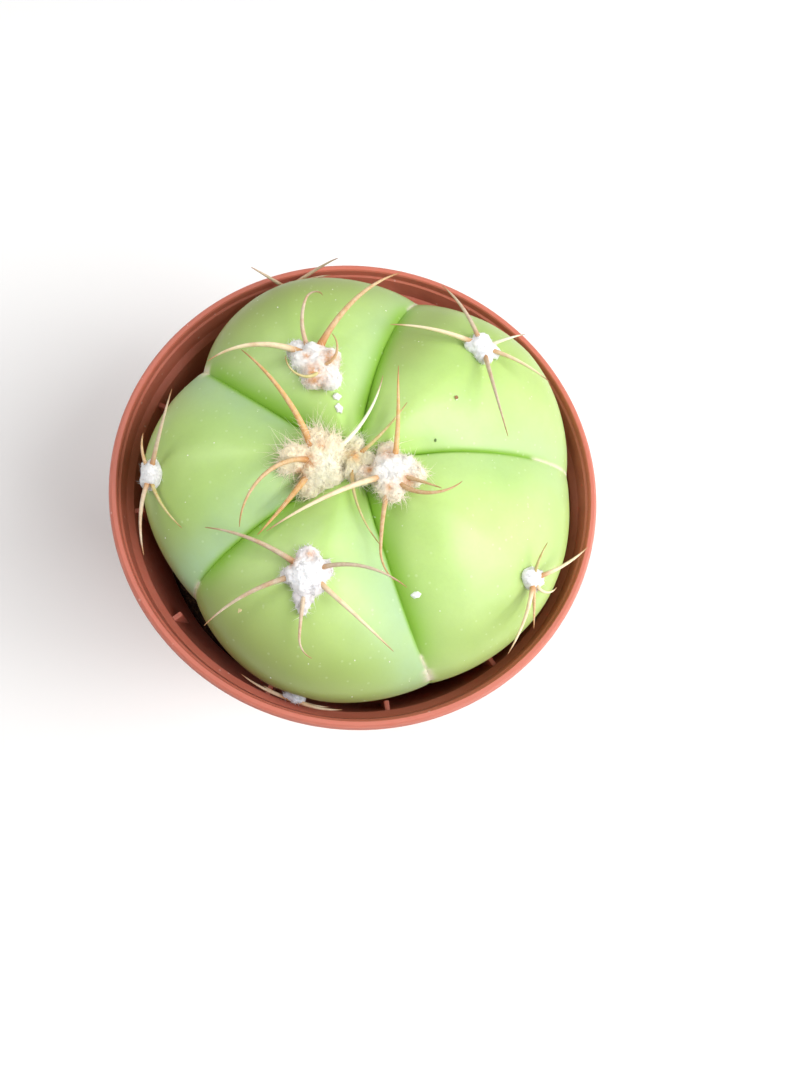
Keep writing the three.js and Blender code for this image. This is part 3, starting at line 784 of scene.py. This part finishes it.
class CACTUS_OT_pot(Operator):
    """Turn the pot, with its lip, collar, ledge, stacking lugs and drainage holes"""
    bl_idname = "cactus.pot"
    bl_label = "Pot"

    def execute(self, context):
        s = context.scene.cactus.pot
        top = RIM_Z
        ledge = top - s.ledge_depth
        wall_top = RIM_RADIUS - s.lip_round - s.collar_step
        collar_edge = top - s.collar_depth + s.lip_round
        shell = turned("pot_shell", (
            (s.base_radius / 2, 0),
            (s.base_radius - BASE_ROUND, 0),
            (s.base_radius, BASE_ROUND),
            (wall_top, top - s.collar_depth),
            (RIM_RADIUS - s.lip_round, collar_edge),
            (RIM_RADIUS, top - 3 * LIP_CORNER),
            (RIM_RADIUS - LIP_CORNER, top - LIP_CORNER),
            (RIM_RADIUS - s.lip_round, top),
            (s.mouth_radius + LIP_CORNER / 2, top),
            (s.mouth_radius, top - LIP_CORNER),
            (s.mouth_radius, top - MOUTH_STEP + LIP_CORNER),
            (s.mouth_radius - LIP_CORNER, top - MOUTH_STEP),
            (s.mouth_radius - 2 * LIP_CORNER, ledge + 3 * LIP_CORNER),
            (s.ledge_radius, ledge),
            (s.base_radius - s.wall, s.floor),
            (s.base_radius / 2, s.floor),
        ), POT_SIDES)
        self.drill(shell, s)
        apply_modifier(shell, "BEVEL", width=0.22 * MM, segments=3, limit_method="ANGLE",
                       angle_limit=math.radians(14))
        pot = join([shell, *self.lugs(s, ledge)], "pot_shell")
        points = points_of(pot)
        reach, height = np.hypot(points[:, 0], points[:, 1]), points[:, 2]
        # Outer top of the lip and lower edge of the collar: where wear and a painted highlight are laid.
        lip = rise(height, top - 1.4 * MM, top) * rise(reach, 41.5 * MM, 42.4 * MM)
        collar = rise(np.abs(height - collar_edge), 0.6 * MM, 0) * (reach > wall_top)
        set_value(pot, "edge", np.maximum(lip, 0.8 * collar))
        hand_over(pot, pot_plastic(s), "pot_plastic", "pot")
        return {"FINISHED"}

    def drill(self, shell, s):
        """Cuts the drainage holes through the floor."""
        for number in range(HOLES["count"]):
            angle = math.tau * number / HOLES["count"]
            deselect_all()
            bpy.ops.mesh.primitive_cylinder_add(
                vertices=HOLES["sides"], radius=HOLES["radius"], depth=4 * s.floor,
                location=(HOLES["ring"] * math.cos(angle), HOLES["ring"] * math.sin(angle), 0))
            drill = bpy.context.object
            apply_modifier(shell, "BOOLEAN", object=drill, operation="DIFFERENCE", solver="EXACT")
            bpy.data.objects.remove(drill)

    def lugs(self, s, ledge):
        """Upright fins under the ledge, each a rounded block that ends inside the tapered wall."""
        made = []
        foot = s.base_radius - s.wall
        slope = (s.ledge_radius - foot) / (ledge - s.floor)
        inner, outer = s.ledge_radius - LUG["reach"], s.ledge_radius + 0.4 * MM
        for number in range(s.lugs):
            deselect_all()
            bpy.ops.mesh.primitive_cube_add(size=1)
            lug = bpy.context.object
            lug.scale = (outer - inner, LUG["width"], LUG["height"])
            lug.location = ((inner + outer) / 2, 0, ledge - LUG["drop"] - LUG["height"] / 2)
            settle(lug)
            apply_modifier(lug, "BEVEL", width=0.2 * MM, segments=2)
            points = points_of(lug)
            in_wall = foot + slope * (points[:, 2] - s.floor) + s.wall / 2
            points[:, 0] = np.where(points[:, 0] > (inner + outer) / 2, in_wall, points[:, 0])
            set_points(lug, points)
            lug.rotation_euler.z = s.lug_angle + math.tau * number / s.lugs
            settle(lug)
            made.append(lug)
        return made


# ---------------------------------------------------------------- the soil

HEAP_RINGS = 40
HEAP_SIDES = 160


def soil_look(settings):
    """Dark, crumbly potting soil."""
    look = Finish("Potting soil", settings.dark, Roughness=0.95, Specular_IOR_Level=0.2)
    fine = look.grain(scale=650.0)
    look.lay(settings.light, look.ramp(fine["Mask"], 0.35, 1.0))
    look.lay(from_hex(0x9A7B5C), look.flecks(scale=380.0, size=0.25, share=0.12), 0.6)
    return look.finished(fine["Height"], distance=0.6 * MM, strength=1.0)


class CACTUS_OT_soil(Operator):
    """Heap the potting soil in the pot and strew it with grains"""
    bl_idname = "cactus.soil"
    bl_label = "Soil"

    def execute(self, context):
        s = context.scene.cactus.soil
        top = SOIL_HIGH.z - 1.2 * MM
        edge = SOIL_HIGH.x
        foot = edge * 0.78
        profile = [(edge * (0.1 + 0.9 * (ring / HEAP_RINGS) ** 0.8), top) for ring in range(HEAP_RINGS)]
        profile += [(edge, top - 1.5 * MM), (foot, SOIL_LOW.z), (foot * 0.5, SOIL_LOW.z)]
        heap = turned("potting_soil", profile, HEAP_SIDES)
        points = points_of(heap)
        for point in points:
            if point[2] > top - 0.1 * MM:
                point[2] += 1.0 * MM * noise.fractal(Vector(point) / (4 * MM), 0.8, 2.1, 4)
        set_points(heap, points)
        soil = join([heap, self.grains(s, top, edge)], "potting_soil")
        hand_over(soil, soil_look(s), "soil", "soil")
        return {"FINISHED"}

    def grains(self, s, top, edge):
        """Broken grains of bark and grit, strewn over the ring of soil that shows."""
        draw = random.Random(11)
        model = new_ball(1)
        shape = points_of(model)
        faces = np.array([face.vertices[:] for face in model.data.polygons])
        bpy.data.objects.remove(model)
        all_points, all_faces = [], []
        for number in range(s.grains):
            reach = edge * math.sqrt(draw.uniform(0.3, 0.95))
            angle = draw.uniform(0, math.tau)
            size = s.grain * draw.uniform(0.4, 1.5)
            turn = np.array(Matrix.Rotation(draw.uniform(0, math.tau), 3,
                                            Vector((draw.random(), draw.random(), draw.random()))))
            rough = shape * np.array([draw.uniform(0.6, 1.4) for _ in range(3)])
            rough = rough * (1 + 0.25 * np.sin(7 * shape[:, :1] + number)) @ turn.T
            centre = (reach * math.cos(angle), reach * math.sin(angle), top + draw.uniform(-0.3, 0.5) * MM)
            all_faces.append(faces + number * len(shape))
            all_points.append(rough * size + centre)
        return new_piece("grains", np.concatenate(all_points), np.concatenate(all_faces).tolist())


# ---------------------------------------------------------------- the plant's body

FURROW_PULL = 0.11              # draws the columns of faces towards the furrows
OLD_AND_SHADED_SIDE = 175                  # compass angle at which the skin is oldest and has the most painted shade
GREEN_SIDE, GREEN_SPREAD = 182, 24
# This rib's flank turned from the light gets olive as painted shade.
OLIVE_SHADED_RIB = "b"
SCAR_END = 3                    # degrees over which a scar fades out at either end


def skin_look(settings):
    """Smooth waxy skin: yellow-green ribs, bluish bloom with painted sheen on the flanks, green furrows
    widened into painted shade, olive age with painted shade, dry scars.
    """
    look = Finish("Cactus skin", settings.flesh, Subsurface_Weight=0.3,
                  Subsurface_Radius=(0.9, 1.0, 0.25), Subsurface_Scale=3 * MM)
    fine = look.grain(scale=420.0)
    look.lay(settings.shade, look.ramp(look.noise(scale=55.0, detail=2.0), 0.35, 0.68), 0.6)
    # Olive from age, and painted shade low down and on the side turned from the light.
    look.lay(settings.olive, look.stored("age"), 0.85)
    uneven = look.ramp(look.noise(scale=130.0, detail=3.0), 0.2, 0.7, 0.55, 1.0)
    # Bluish bloom, with painted sheen on the flanks that face the light.
    bloom_and_sheen = look.product(look.stored("bloom_and_sheen"), uneven)
    look.lay(settings.bloom_and_sheen, bloom_and_sheen)
    # Green furrow strip, widened into painted shade on flanks turned from the light.
    look.lay(settings.crease_and_shade, look.stored("crease_and_shade"))
    look.lay(darker(settings.flesh, 0.6), fine["Mask"], 0.12)
    look.lay(from_hex(0xF2FAD8), look.flecks(scale=900.0, size=0.2, share=0.25), 0.14)
    ragged = look.ramp(look.noise(scale=900.0, detail=3.0), 0.3, 0.5, 0.55, 1.0)
    scar = look.product(look.stored("scar"), ragged)
    look.lay(settings.scar, scar)
    waxy = look.ramp(bloom_and_sheen, 0.0, 1.0, 0.4, 0.6)
    look.drive("Roughness", look.mixed(scar, waxy, 0.85, data_type="FLOAT"))
    height = look.maths("ADD", fine["Height"], look.product(scar, 1.5))
    return look.finished(height, distance=0.08 * MM, strength=0.35)


class CACTUS_OT_body(Operator):
    """Grow the ribbed body from a sphere: crown dip, five furrows, bloom with painted sheen, painted shade
    and scars
    """
    bl_idname = "cactus.body"
    bl_label = "Body"

    def execute(self, context):
        s = context.scene.cactus.body
        deselect_all()
        bpy.ops.mesh.primitive_uv_sphere_add(segments=s.columns * RIB_COUNT, ring_count=s.rows, radius=1)
        body = named(bpy.context.object, "cactus_skin")
        sphere = points_of(body)
        fall = np.arccos(np.clip(sphere[:, 2], -1, 1))
        turn = np.mod(np.arctan2(sphere[:, 1], sphere[:, 0]) / math.tau, 1) * RIB_COUNT
        turn = np.mod(np.round(turn * s.columns) / s.columns, RIB_COUNT)
        rib = np.floor(turn).astype(int)
        even = turn - rib
        share = even - FURROW_PULL * np.sin(math.tau * even)
        points, to_furrow = skin_points(rib, share, fall)
        points = self.weather(points, to_furrow)
        set_points(body, points * MM)

        degrees = np.degrees(fall)
        flank = (share >= 0.5).astype(int)
        # Bloom strength per flank, which also paints sheen where a flank faces the light.
        set_value(body, "bloom_and_sheen", BLOOM_AND_SHEEN[rib, flank] * bell(to_furrow, 6.5) * rise(degrees, 6, 20))
        # Green along the furrows, wider as painted shade on flanks turned from the light; the crown is
        # green too.
        crease_and_shade = bell(to_furrow, GREEN_AND_SHADE[rib, flank]) * rise(degrees, 80, 45)
        set_value(body, "crease_and_shade", np.maximum(crease_and_shade, 0.4 * rise(degrees, 14, 4)))
        set_value(body, "age", self.age(points, rib, share, degrees))
        scar = self.scars(rib, share, to_furrow, degrees)
        set_value(body, "scar", scar)
        self.raise_cork(body, scar)
        hand_over(body, skin_look(s), "cactus_skin", "cactus_body")
        return {"FINISHED"}

    def weather(self, points, to_furrow):
        """Soft unevenness of real flesh, and a dimple under each areole."""
        for index, point in enumerate(points):
            place = Vector(point)
            swell = noise.noise(place / 14) * 0.45 + noise.noise(place / 5) * 0.12
            point[2] += swell * min(to_furrow[index] / 4, 1)
        for areole in AREOLES.values():
            seat = Seat(areole.at, areole.fall)
            away = np.linalg.norm(points - seat.centre, axis=1)
            dimple = 0.35 * bell(away, 1.5 * areole.wool[1])
            points = points - np.outer(dimple, seat.axes[2])
        return points

    def age(self, points, rib, share, degrees):
        """How olive the skin is: partly age, partly painted shade, low down, most of all on the side
        turned from the light, and on one rib's flank turned from it.
        """
        compass = np.degrees(np.arctan2(points[:, 1], points[:, 0])) % 360
        towards_old_and_shaded = rise(np.cos(np.radians(compass - OLD_AND_SHADED_SIDE)), -0.5, 0.6)
        greener = 0.55 * bell(compass - GREEN_SIDE, GREEN_SPREAD)
        low = rise(degrees, 28, 70) * (0.35 + 0.65 * towards_old_and_shaded - greener)
        on_flank = (rib == RIB_NAMES.index(OLIVE_SHADED_RIB)) * rise(share, 0.6, 0.9)
        return np.maximum(low, 0.6 * on_flank * rise(degrees, 12, 32))

    def scars(self, rib, share, to_furrow, degrees):
        """How corky the skin is, from the table of furrow scars."""
        result = np.zeros(len(rib))
        for name, start, end, half_width in SCARS:
            number = RIB_NAMES.index(name)
            own = np.where(share < 0.5, rib == number, (rib + 1) % RIB_COUNT == number)
            inside = rise(degrees, start, start + SCAR_END) * rise(degrees, end, end - SCAR_END)
            result = np.maximum(result, own * inside * bell(to_furrow, half_width))
        return result

    def raise_cork(self, body, scar):
        """Lifts the corky skin a little, unevenly."""
        points, normals = points_of(body), normals_of(body)
        for index in np.flatnonzero(scar > 0.05):
            lift = 0.12 + 0.18 * noise.noise(Vector(points[index]) / (0.5 * MM))
            points[index] += normals[index] * scar[index] * lift * MM
        set_points(body, points)


# ---------------------------------------------------------------- the wool

LUMPS = 8                       # balls strewn over a cushion
GOLDEN_ANGLE = math.radians(137.5)
HAIR_SECTIONS = 5


def wool_look(settings):
    """Felted hair: cream to white by areole, stained brown where it is old."""
    look = Finish("Areole wool", Roughness=0.95, Specular_IOR_Level=0.15, Subsurface_Weight=0.5,
                  Subsurface_Radius=(1.0, 0.92, 0.85), Subsurface_Scale=0.3 * MM, Sheen_Weight=0.9)
    fine = look.grain(scale=1500.0)
    look.lay(from_hex(0xC9BEAA), fine["Mask"], 0.05)
    rough_edge = look.ramp(look.noise(scale=900.0, detail=3.0, roughness=0.7), 0.3, 0.65, 0.25, 1.0)
    look.lay(settings.stain, look.stored("stain"), rough_edge, 0.95)
    return look.finished(fine["Height"], distance=0.35 * MM, strength=0.5)


class CACTUS_OT_wool(Operator):
    """Felt a cushion of wool over each areole, with loose hairs all over it and round its edge"""
    bl_idname = "cactus.wool"
    bl_label = "Wool"

    def execute(self, context):
        s = context.scene.cactus.wool
        material = wool_look(s)
        hair = self.hair_model()
        largest = max(areole.wool[0] * areole.wool[1] for areole in AREOLES.values())
        for number, (name, areole) in enumerate(AREOLES.items()):
            seat = Seat(areole.at, areole.fall)
            core = self.core(s, areole, seat, random.Random(100 + number))
            share = areole.wool[0] * areole.wool[1] / largest
            total = int(s.hairs * share * (0.45 + 0.55 * areole.fringe))
            hairs = self.hairs(s, areole, seat, core, hair, total, np.random.default_rng(200 + number))
            wool = join([core, hairs], f"areole_wool_{name}")
            self.dye(wool, areole, seat)
            hand_over(wool, material, "wool", f"wool_{name}")
        bpy.data.objects.remove(hair)
        return {"FINISHED"}

    def balls(self, areole, draw):
        """Balls that a cushion is felted from: place along, across and out, and half-sizes."""
        half_length, half_width, height = areole.wool
        small = min(areole.wool)
        yield (areole.slide, 0, 0), (0.9 * half_length, 0.9 * half_width, 0.92 * height)
        for lump in range(LUMPS):
            angle = lump * GOLDEN_ANGLE + draw.uniform(-0.3, 0.3)
            reach = math.sqrt((lump + 0.5) / LUMPS) * 0.66
            radius = small * draw.uniform(0.42, 0.6)
            out = (height - radius) * math.sqrt(1 - reach ** 2) * draw.uniform(0.7, 1.05)
            place = (areole.slide + half_length * reach * math.cos(angle),
                     half_width * reach * math.sin(angle), out)
            yield place, (radius, radius, radius)
        for along, across, radius in areole.tufts:
            yield (along, across, 0.2 * radius), (radius, radius, 0.75 * radius)

    def core(self, s, areole, seat, draw):
        """The felted core: balls grown into one lumpy pad, with fine unevenness."""
        made = []
        for place, sizes in self.balls(areole, draw):
            ball = new_ball(3)
            set_points(ball, seat.placed(points_of(ball) * sizes + place) * MM)
            made.append(ball)
        core = join(made, "wool_core")
        apply_modifier(core, "REMESH", mode="VOXEL", voxel_size=s.felt)
        apply_modifier(core, "SMOOTH", factor=0.5, iterations=6)
        points = points_of(core) / MM
        rough = 0.6 + 0.4 * areole.fringe
        puffs = [rough * (noise.noise(place / 0.9) * 0.26 + noise.noise(place / 0.38) * 0.13)
                 for place in map(Vector, points)]
        set_points(core, (points + normals_of(core) * np.array(puffs)[:, None]) * MM)
        return core

    def hair_model(self):
        """One straight hair of length one, a slim three-sided rod that stands on its root."""
        deselect_all()
        bpy.ops.mesh.primitive_circle_add(vertices=3, radius=1, fill_type="NGON")
        hair = bpy.context.object
        bpy.ops.object.mode_set(mode="EDIT")
        for _ in range(HAIR_SECTIONS):
            bpy.ops.mesh.extrude_region_move()
            bpy.ops.transform.translate(value=(0, 0, 1 / HAIR_SECTIONS))
        bpy.ops.object.mode_set(mode="OBJECT")
        return hair

    def hairs(self, s, areole, seat, core, model, total, draw):
        """Copies the hair over the cushion: felted down in the middle, combed out at the edge."""
        roots, outward = self.scatter(core, seat, total, draw)
        out, loose = seat.axes[2], areole.fringe
        flat = roots - np.array(seat.place(areole.slide, 0, 0))
        low = np.clip(1 - flat @ out / areole.wool[2], 0, 1)[:, None]
        flat = unit(flat - np.outer(flat @ out, out), guard=1e-6)

        comb = draw.normal(size=(total, 3))
        comb = unit(comb - outward * np.sum(comb * outward, axis=1, keepdims=True))
        stand = draw.uniform(0.0, 0.22, (total, 1)) * (0.4 + 0.6 * loose)
        way = unit(comb + flat * low * 1.3 * loose + outward * stand)
        long = s.hair / MM * draw.uniform(0.3, 1.1, (total, 1)) * (0.35 + 0.65 * loose)
        long = long * (0.7 + 0.8 * low * loose)
        bend = draw.normal(scale=0.8, size=(total, 3)) - out * 0.3 * loose
        first = unit(np.cross(way, draw.normal(size=(total, 3))))
        second = np.cross(way, first)

        shape = points_of(model)
        x, y, z = shape.T[:, None, :, None]
        taper = s.hair_radius / MM * (1.05 - z)
        middle = roots[:, None] + long[:, None] * (way[:, None] * z + bend[:, None] * 0.5 * z * z)
        points = middle + (first[:, None] * x + second[:, None] * y) * taper
        faces = [[base + vertex for vertex in face.vertices]
                 for base in range(0, total * len(shape), len(shape)) for face in model.data.polygons]
        return new_piece("hairs", points.reshape(-1, 3) * MM, faces)

    def scatter(self, core, seat, total, draw):
        """Roots spread evenly over the part of the core above the skin, and the way out there."""
        core.data.calc_loop_triangles()
        corners = np.array([triangle.vertices[:] for triangle in core.data.loop_triangles])
        places = points_of(core)[corners] / MM
        across = np.cross(places[:, 1] - places[:, 0], places[:, 2] - places[:, 0])
        area = np.linalg.norm(across, axis=1)
        heights = (places.mean(axis=1) - seat.centre) @ seat.axes[2]
        weight = area * (heights > -0.1)
        chosen = draw.choice(len(corners), total, p=weight / weight.sum())
        a, b = np.sqrt(draw.random((total, 1))), draw.random((total, 1))
        corner = places[chosen]
        roots = corner[:, 0] * (1 - a) + corner[:, 1] * a * (1 - b) + corner[:, 2] * a * b
        return roots, across[chosen] / area[chosen][:, None]

    def dye(self, wool, areole, seat):
        """Colours the wool by its place: paler in the middle, with brown spots."""
        along, across, _ = ((points_of(wool) / MM - seat.centre) @ seat.axes.T).T
        half_length, half_width, _ = areole.wool
        away = np.hypot((along - areole.slide) / half_length, across / half_width)
        heart = rise(away, 1.25, 0.25)[:, None]
        set_tint(wool, np.array(from_hex(areole.tint)) * (1 - heart)
                 + np.array(from_hex(areole.heart)) * heart)
        stain = np.zeros(len(along))
        for at_along, at_across, radius in areole.stains:
            stain = np.maximum(stain, bell(np.hypot(along - at_along, across - at_across), radius))
        set_value(wool, "stain", stain)


# ---------------------------------------------------------------- marks on the skin

def mark_look():
    """Crumbs of wax and wool and dried drops, each in its own colour."""
    look = Finish("Marks", Roughness=0.8, Specular_IOR_Level=0.3)
    fine = look.grain(scale=1800.0)
    look.lay(from_hex(0xD8D2C4), fine["Mask"], 0.15)
    return look.finished(fine["Height"], distance=0.15 * MM, strength=0.8)


class CACTUS_OT_marks(Operator):
    """Lay crumbs of wool, dried drops and a fine dust of white specks on the skin"""
    bl_idname = "cactus.marks"
    bl_label = "Marks"

    def execute(self, context):
        s = context.scene.cactus.marks
        draw = random.Random(77)
        made = [self.mark(at, fall, sizes, code, 3) for at, fall, sizes, code in MARKS]
        for _ in range(s.specks):
            size = s.speck / MM * draw.uniform(0.5, 1.5)
            sizes = (size, size * draw.uniform(0.6, 1.2), 0.4 * size)
            made.append(self.mark(draw.uniform(0, 360), draw.uniform(8, 92), sizes, 0xF4F6E8, 1))
        hand_over(join(made, "skin_marks"), mark_look(), "wool")
        return {"FINISHED"}

    def mark(self, at, fall, sizes, code, fineness):
        """One flattened crumb on the skin."""
        crumb = new_ball(fineness)
        shape = points_of(crumb)
        shape *= 1 + 0.2 * np.sin(5 * shape[:, [1]] + at) * np.cos(4 * shape[:, [0]] + fall)
        set_points(crumb, Seat(at, fall).placed(shape * sizes) * MM)
        set_tint(crumb, from_hex(code))
        return crumb


# ---------------------------------------------------------------- the spines

ROOT_HEIGHT = 0.6               # of a spine's lowest point off the skin, under the wool
HOOK_FROM = 0.7                 # share of the length after which a spine hooks
ROOT_SWELL, SWELL_SHARE = 0.35, 0.09


def spine_look(settings):
    """Horny spines: orange-brown root, paler shaft with faint bands and grain, brown point."""
    look = Finish("Spines", Roughness=0.5, Subsurface_Weight=0.1, Subsurface_Radius=(1.0, 0.6, 0.3),
                  Subsurface_Scale=0.6 * MM)
    along = look.stored("along")
    fine = look.grain(scale=1300.0)
    look.lay(settings.root, look.ramp(look.noise(scale=330.0, detail=3.0), 0.45, 0.7), 0.4)
    look.lay(from_hex(0xFFF3DC), fine["Mask"], 0.3)
    look.lay(settings.root, look.ramp(along, 0.06, 0.26, 0.85, 0.0))
    look.lay(settings.tip, look.ramp(along, 0.78, 1.0, 0.0, 0.85))
    return look.finished(fine["Height"], distance=0.08 * MM, strength=0.6)


class CACTUS_OT_spines(Operator):
    """Grow each areole's bunch of curved spines, thick at the root and sharp at the tip"""
    bl_idname = "cactus.spines"
    bl_label = "Spines"

    def execute(self, context):
        s = context.scene.cactus.spines
        material = spine_look(s)
        for name, areole in AREOLES.items():
            seat = Seat(areole.at, areole.fall)
            made = [self.spine(s, seat, areole.knot, spine) for spine in areole.spines]
            bunch = join(made, f"spine_bunch_{name}")
            hand_over(bunch, material, "spines", f"spines_{name}")
        return {"FINISHED"}

    def path(self, s, seat, knot, spine):
        """Points along a spine, from its root under the wool to its tip."""
        turn, lift, droop, long, sweep, hook = spine[:6]
        leave = math.radians(turn)
        here = seat.place(knot / 2 * math.cos(leave), knot / 2 * math.sin(leave), ROOT_HEIGHT)
        points = [here.copy()]
        for step in range(s.steps):
            along = (step + 0.5) / s.steps
            climb = math.radians(lift - droop * along)
            hooked = max(0, (along - HOOK_FROM) / (1 - HOOK_FROM))
            way = math.radians(turn + sweep * along + hook * hooked)
            heading = (seat.up * math.cos(climb) * math.cos(way)
                       + seat.across * math.cos(climb) * math.sin(way) + seat.out * math.sin(climb))
            here = here + heading * (long / s.steps)
            points.append(here.copy())
        return points

    def spine(self, s, seat, knot, spine):
        """One spine, drawn as a curve with its own thickness at each point and made a mesh."""
        radius, tone = spine[6:]
        points = self.path(s, seat, knot, spine)
        deselect_all()
        bpy.ops.curve.primitive_nurbs_path_add()
        piece = bpy.context.object
        curve = piece.data
        curve.splines.clear()
        line = curve.splines.new("POLY")
        line.points.add(len(points) - 1)
        tip = s.tip_radius / MM
        for number, point in enumerate(points):
            along = number / s.steps
            swollen = 1 + ROOT_SWELL * bell(along, SWELL_SHARE)
            line.points[number].co = (*(point * MM), 1)
            line.points[number].radius = tip + (radius - tip) * (1 - along) ** 0.75 * swollen
        curve.bevel_depth = MM
        curve.bevel_resolution = 3
        curve.use_fill_caps = True
        activate(piece)
        bpy.ops.object.convert(target="MESH")
        piece = bpy.context.object
        settle(piece)
        path = np.array([point * MM for point in points])
        away = np.linalg.norm(points_of(piece)[:, None] - path[None], axis=2)
        set_value(piece, "along", away.argmin(axis=1) / s.steps)
        set_tint(piece, from_hex(SPINE_TONES[tone]))
        return piece


# ---------------------------------------------------------------- the stage

LIGHT_DISTANCE = 0.5
CAMERA_RIGHT = (0.9922, 0, 0.1249)
CAMERA_BACK = (-0.1207, -0.2573, 0.9588)


class CACTUS_OT_stage(Operator):
    """Set a plain pale floor, soft light from the right and the camera above"""
    bl_idname = "cactus.stage"
    bl_label = "Stage"

    def execute(self, context):
        s = context.scene.cactus.stage
        scene = context.scene
        scene.view_settings.view_transform = "Standard"
        deselect_all()
        bpy.ops.mesh.primitive_plane_add(size=4, location=(0, 0, -0.05 * MM))
        floor = bpy.context.object
        floor.name = "floor"
        look = Finish("Pale floor", s.floor, Base_Color=s.floor, Roughness=0.9)
        floor.data.materials.append(look.material)

        world = bpy.data.worlds.new("Soft light")
        world.use_nodes = True
        background = world.node_tree.nodes["Background"]
        background.inputs["Color"].default_value = (1, 1, 1, 1)
        background.inputs["Strength"].default_value = s.fill
        scene.world = world

        self.soft_light("Key light", s.key, compass=-30, height=50, size=0.3)
        self.soft_light("Side light", s.side, compass=5, height=20, size=0.4)
        self.soft_light("Back light", s.back, compass=150, height=50, size=0.3)

        data = bpy.data.cameras.new("Camera")
        data.lens = s.lens
        data.sensor_width = 36
        data.clip_start = 0.01
        camera = bpy.data.objects.new("Camera", data)
        camera.matrix_world = self.camera_place(s.eye)
        scene.collection.objects.link(camera)
        scene.camera = camera
        return {"FINISHED"}

    def soft_light(self, name, strength, compass, height, size):
        """A square soft light that shines on the pot's rim, at angles in degrees."""
        turn, lift = math.radians(compass), math.radians(height)
        way = Vector((math.cos(turn) * math.cos(lift), math.sin(turn) * math.cos(lift), math.sin(lift)))
        deselect_all()
        bpy.ops.object.light_add(type="AREA", location=Vector((0, 0, RIM_Z)) + LIGHT_DISTANCE * way)
        light = bpy.context.object
        light.name = name
        light.data.size = size
        light.data.energy = strength
        light.rotation_euler = way.to_track_quat("Z", "Y").to_euler()

    def camera_place(self, eye):
        """Looks down from the near left, tilted and turned as the picture was taken."""
        right = Vector(CAMERA_RIGHT).normalized()
        back = Vector(CAMERA_BACK)
        back = (back - right * back.dot(right)).normalized()
        up = back.cross(right)
        turn = Matrix((right, up, back)).transposed()
        return Matrix.Translation(eye) @ turn.to_4x4()


# ---------------------------------------------------------------- panel and registration

OPERATORS = (CACTUS_OT_pot, CACTUS_OT_soil, CACTUS_OT_body, CACTUS_OT_wool, CACTUS_OT_marks,
             CACTUS_OT_spines, CACTUS_OT_stage)


class CACTUS_PT_panel(Panel):
    """Lists the steps that build the potted cactus"""
    bl_idname = "CACTUS_PT_panel"
    bl_label = "Potted Chin Cactus"
    bl_space_type = "VIEW_3D"
    bl_region_type = "UI"
    bl_category = "Cactus"

    def draw(self, context):
        settings = context.scene.cactus
        for operator in OPERATORS:
            box = self.layout.box()
            box.operator(operator.bl_idname)
            part = getattr(settings, operator.bl_idname.split(".")[1])
            for key in type(part).__annotations__:
                box.prop(part, key)


CLASSES = (PotSettings, SoilSettings, BodySettings, WoolSettings, MarkSettings, SpineSettings,
           StageSettings, CactusSettings, *OPERATORS, CACTUS_PT_panel)


def register():
    for cls in CLASSES:
        bpy.utils.register_class(cls)
    bpy.types.Scene.cactus = PointerProperty(type=CactusSettings)


def unregister():
    del bpy.types.Scene.cactus
    for cls in reversed(CLASSES):
        bpy.utils.unregister_class(cls)


def main():
    register()
    bpy.ops.cactus.stage()
    bpy.ops.cactus.pot()
    bpy.ops.cactus.soil()
    bpy.ops.cactus.body()
    bpy.ops.cactus.wool()
    bpy.ops.cactus.marks()
    bpy.ops.cactus.spines()


if __name__ == "__main__":
    main()
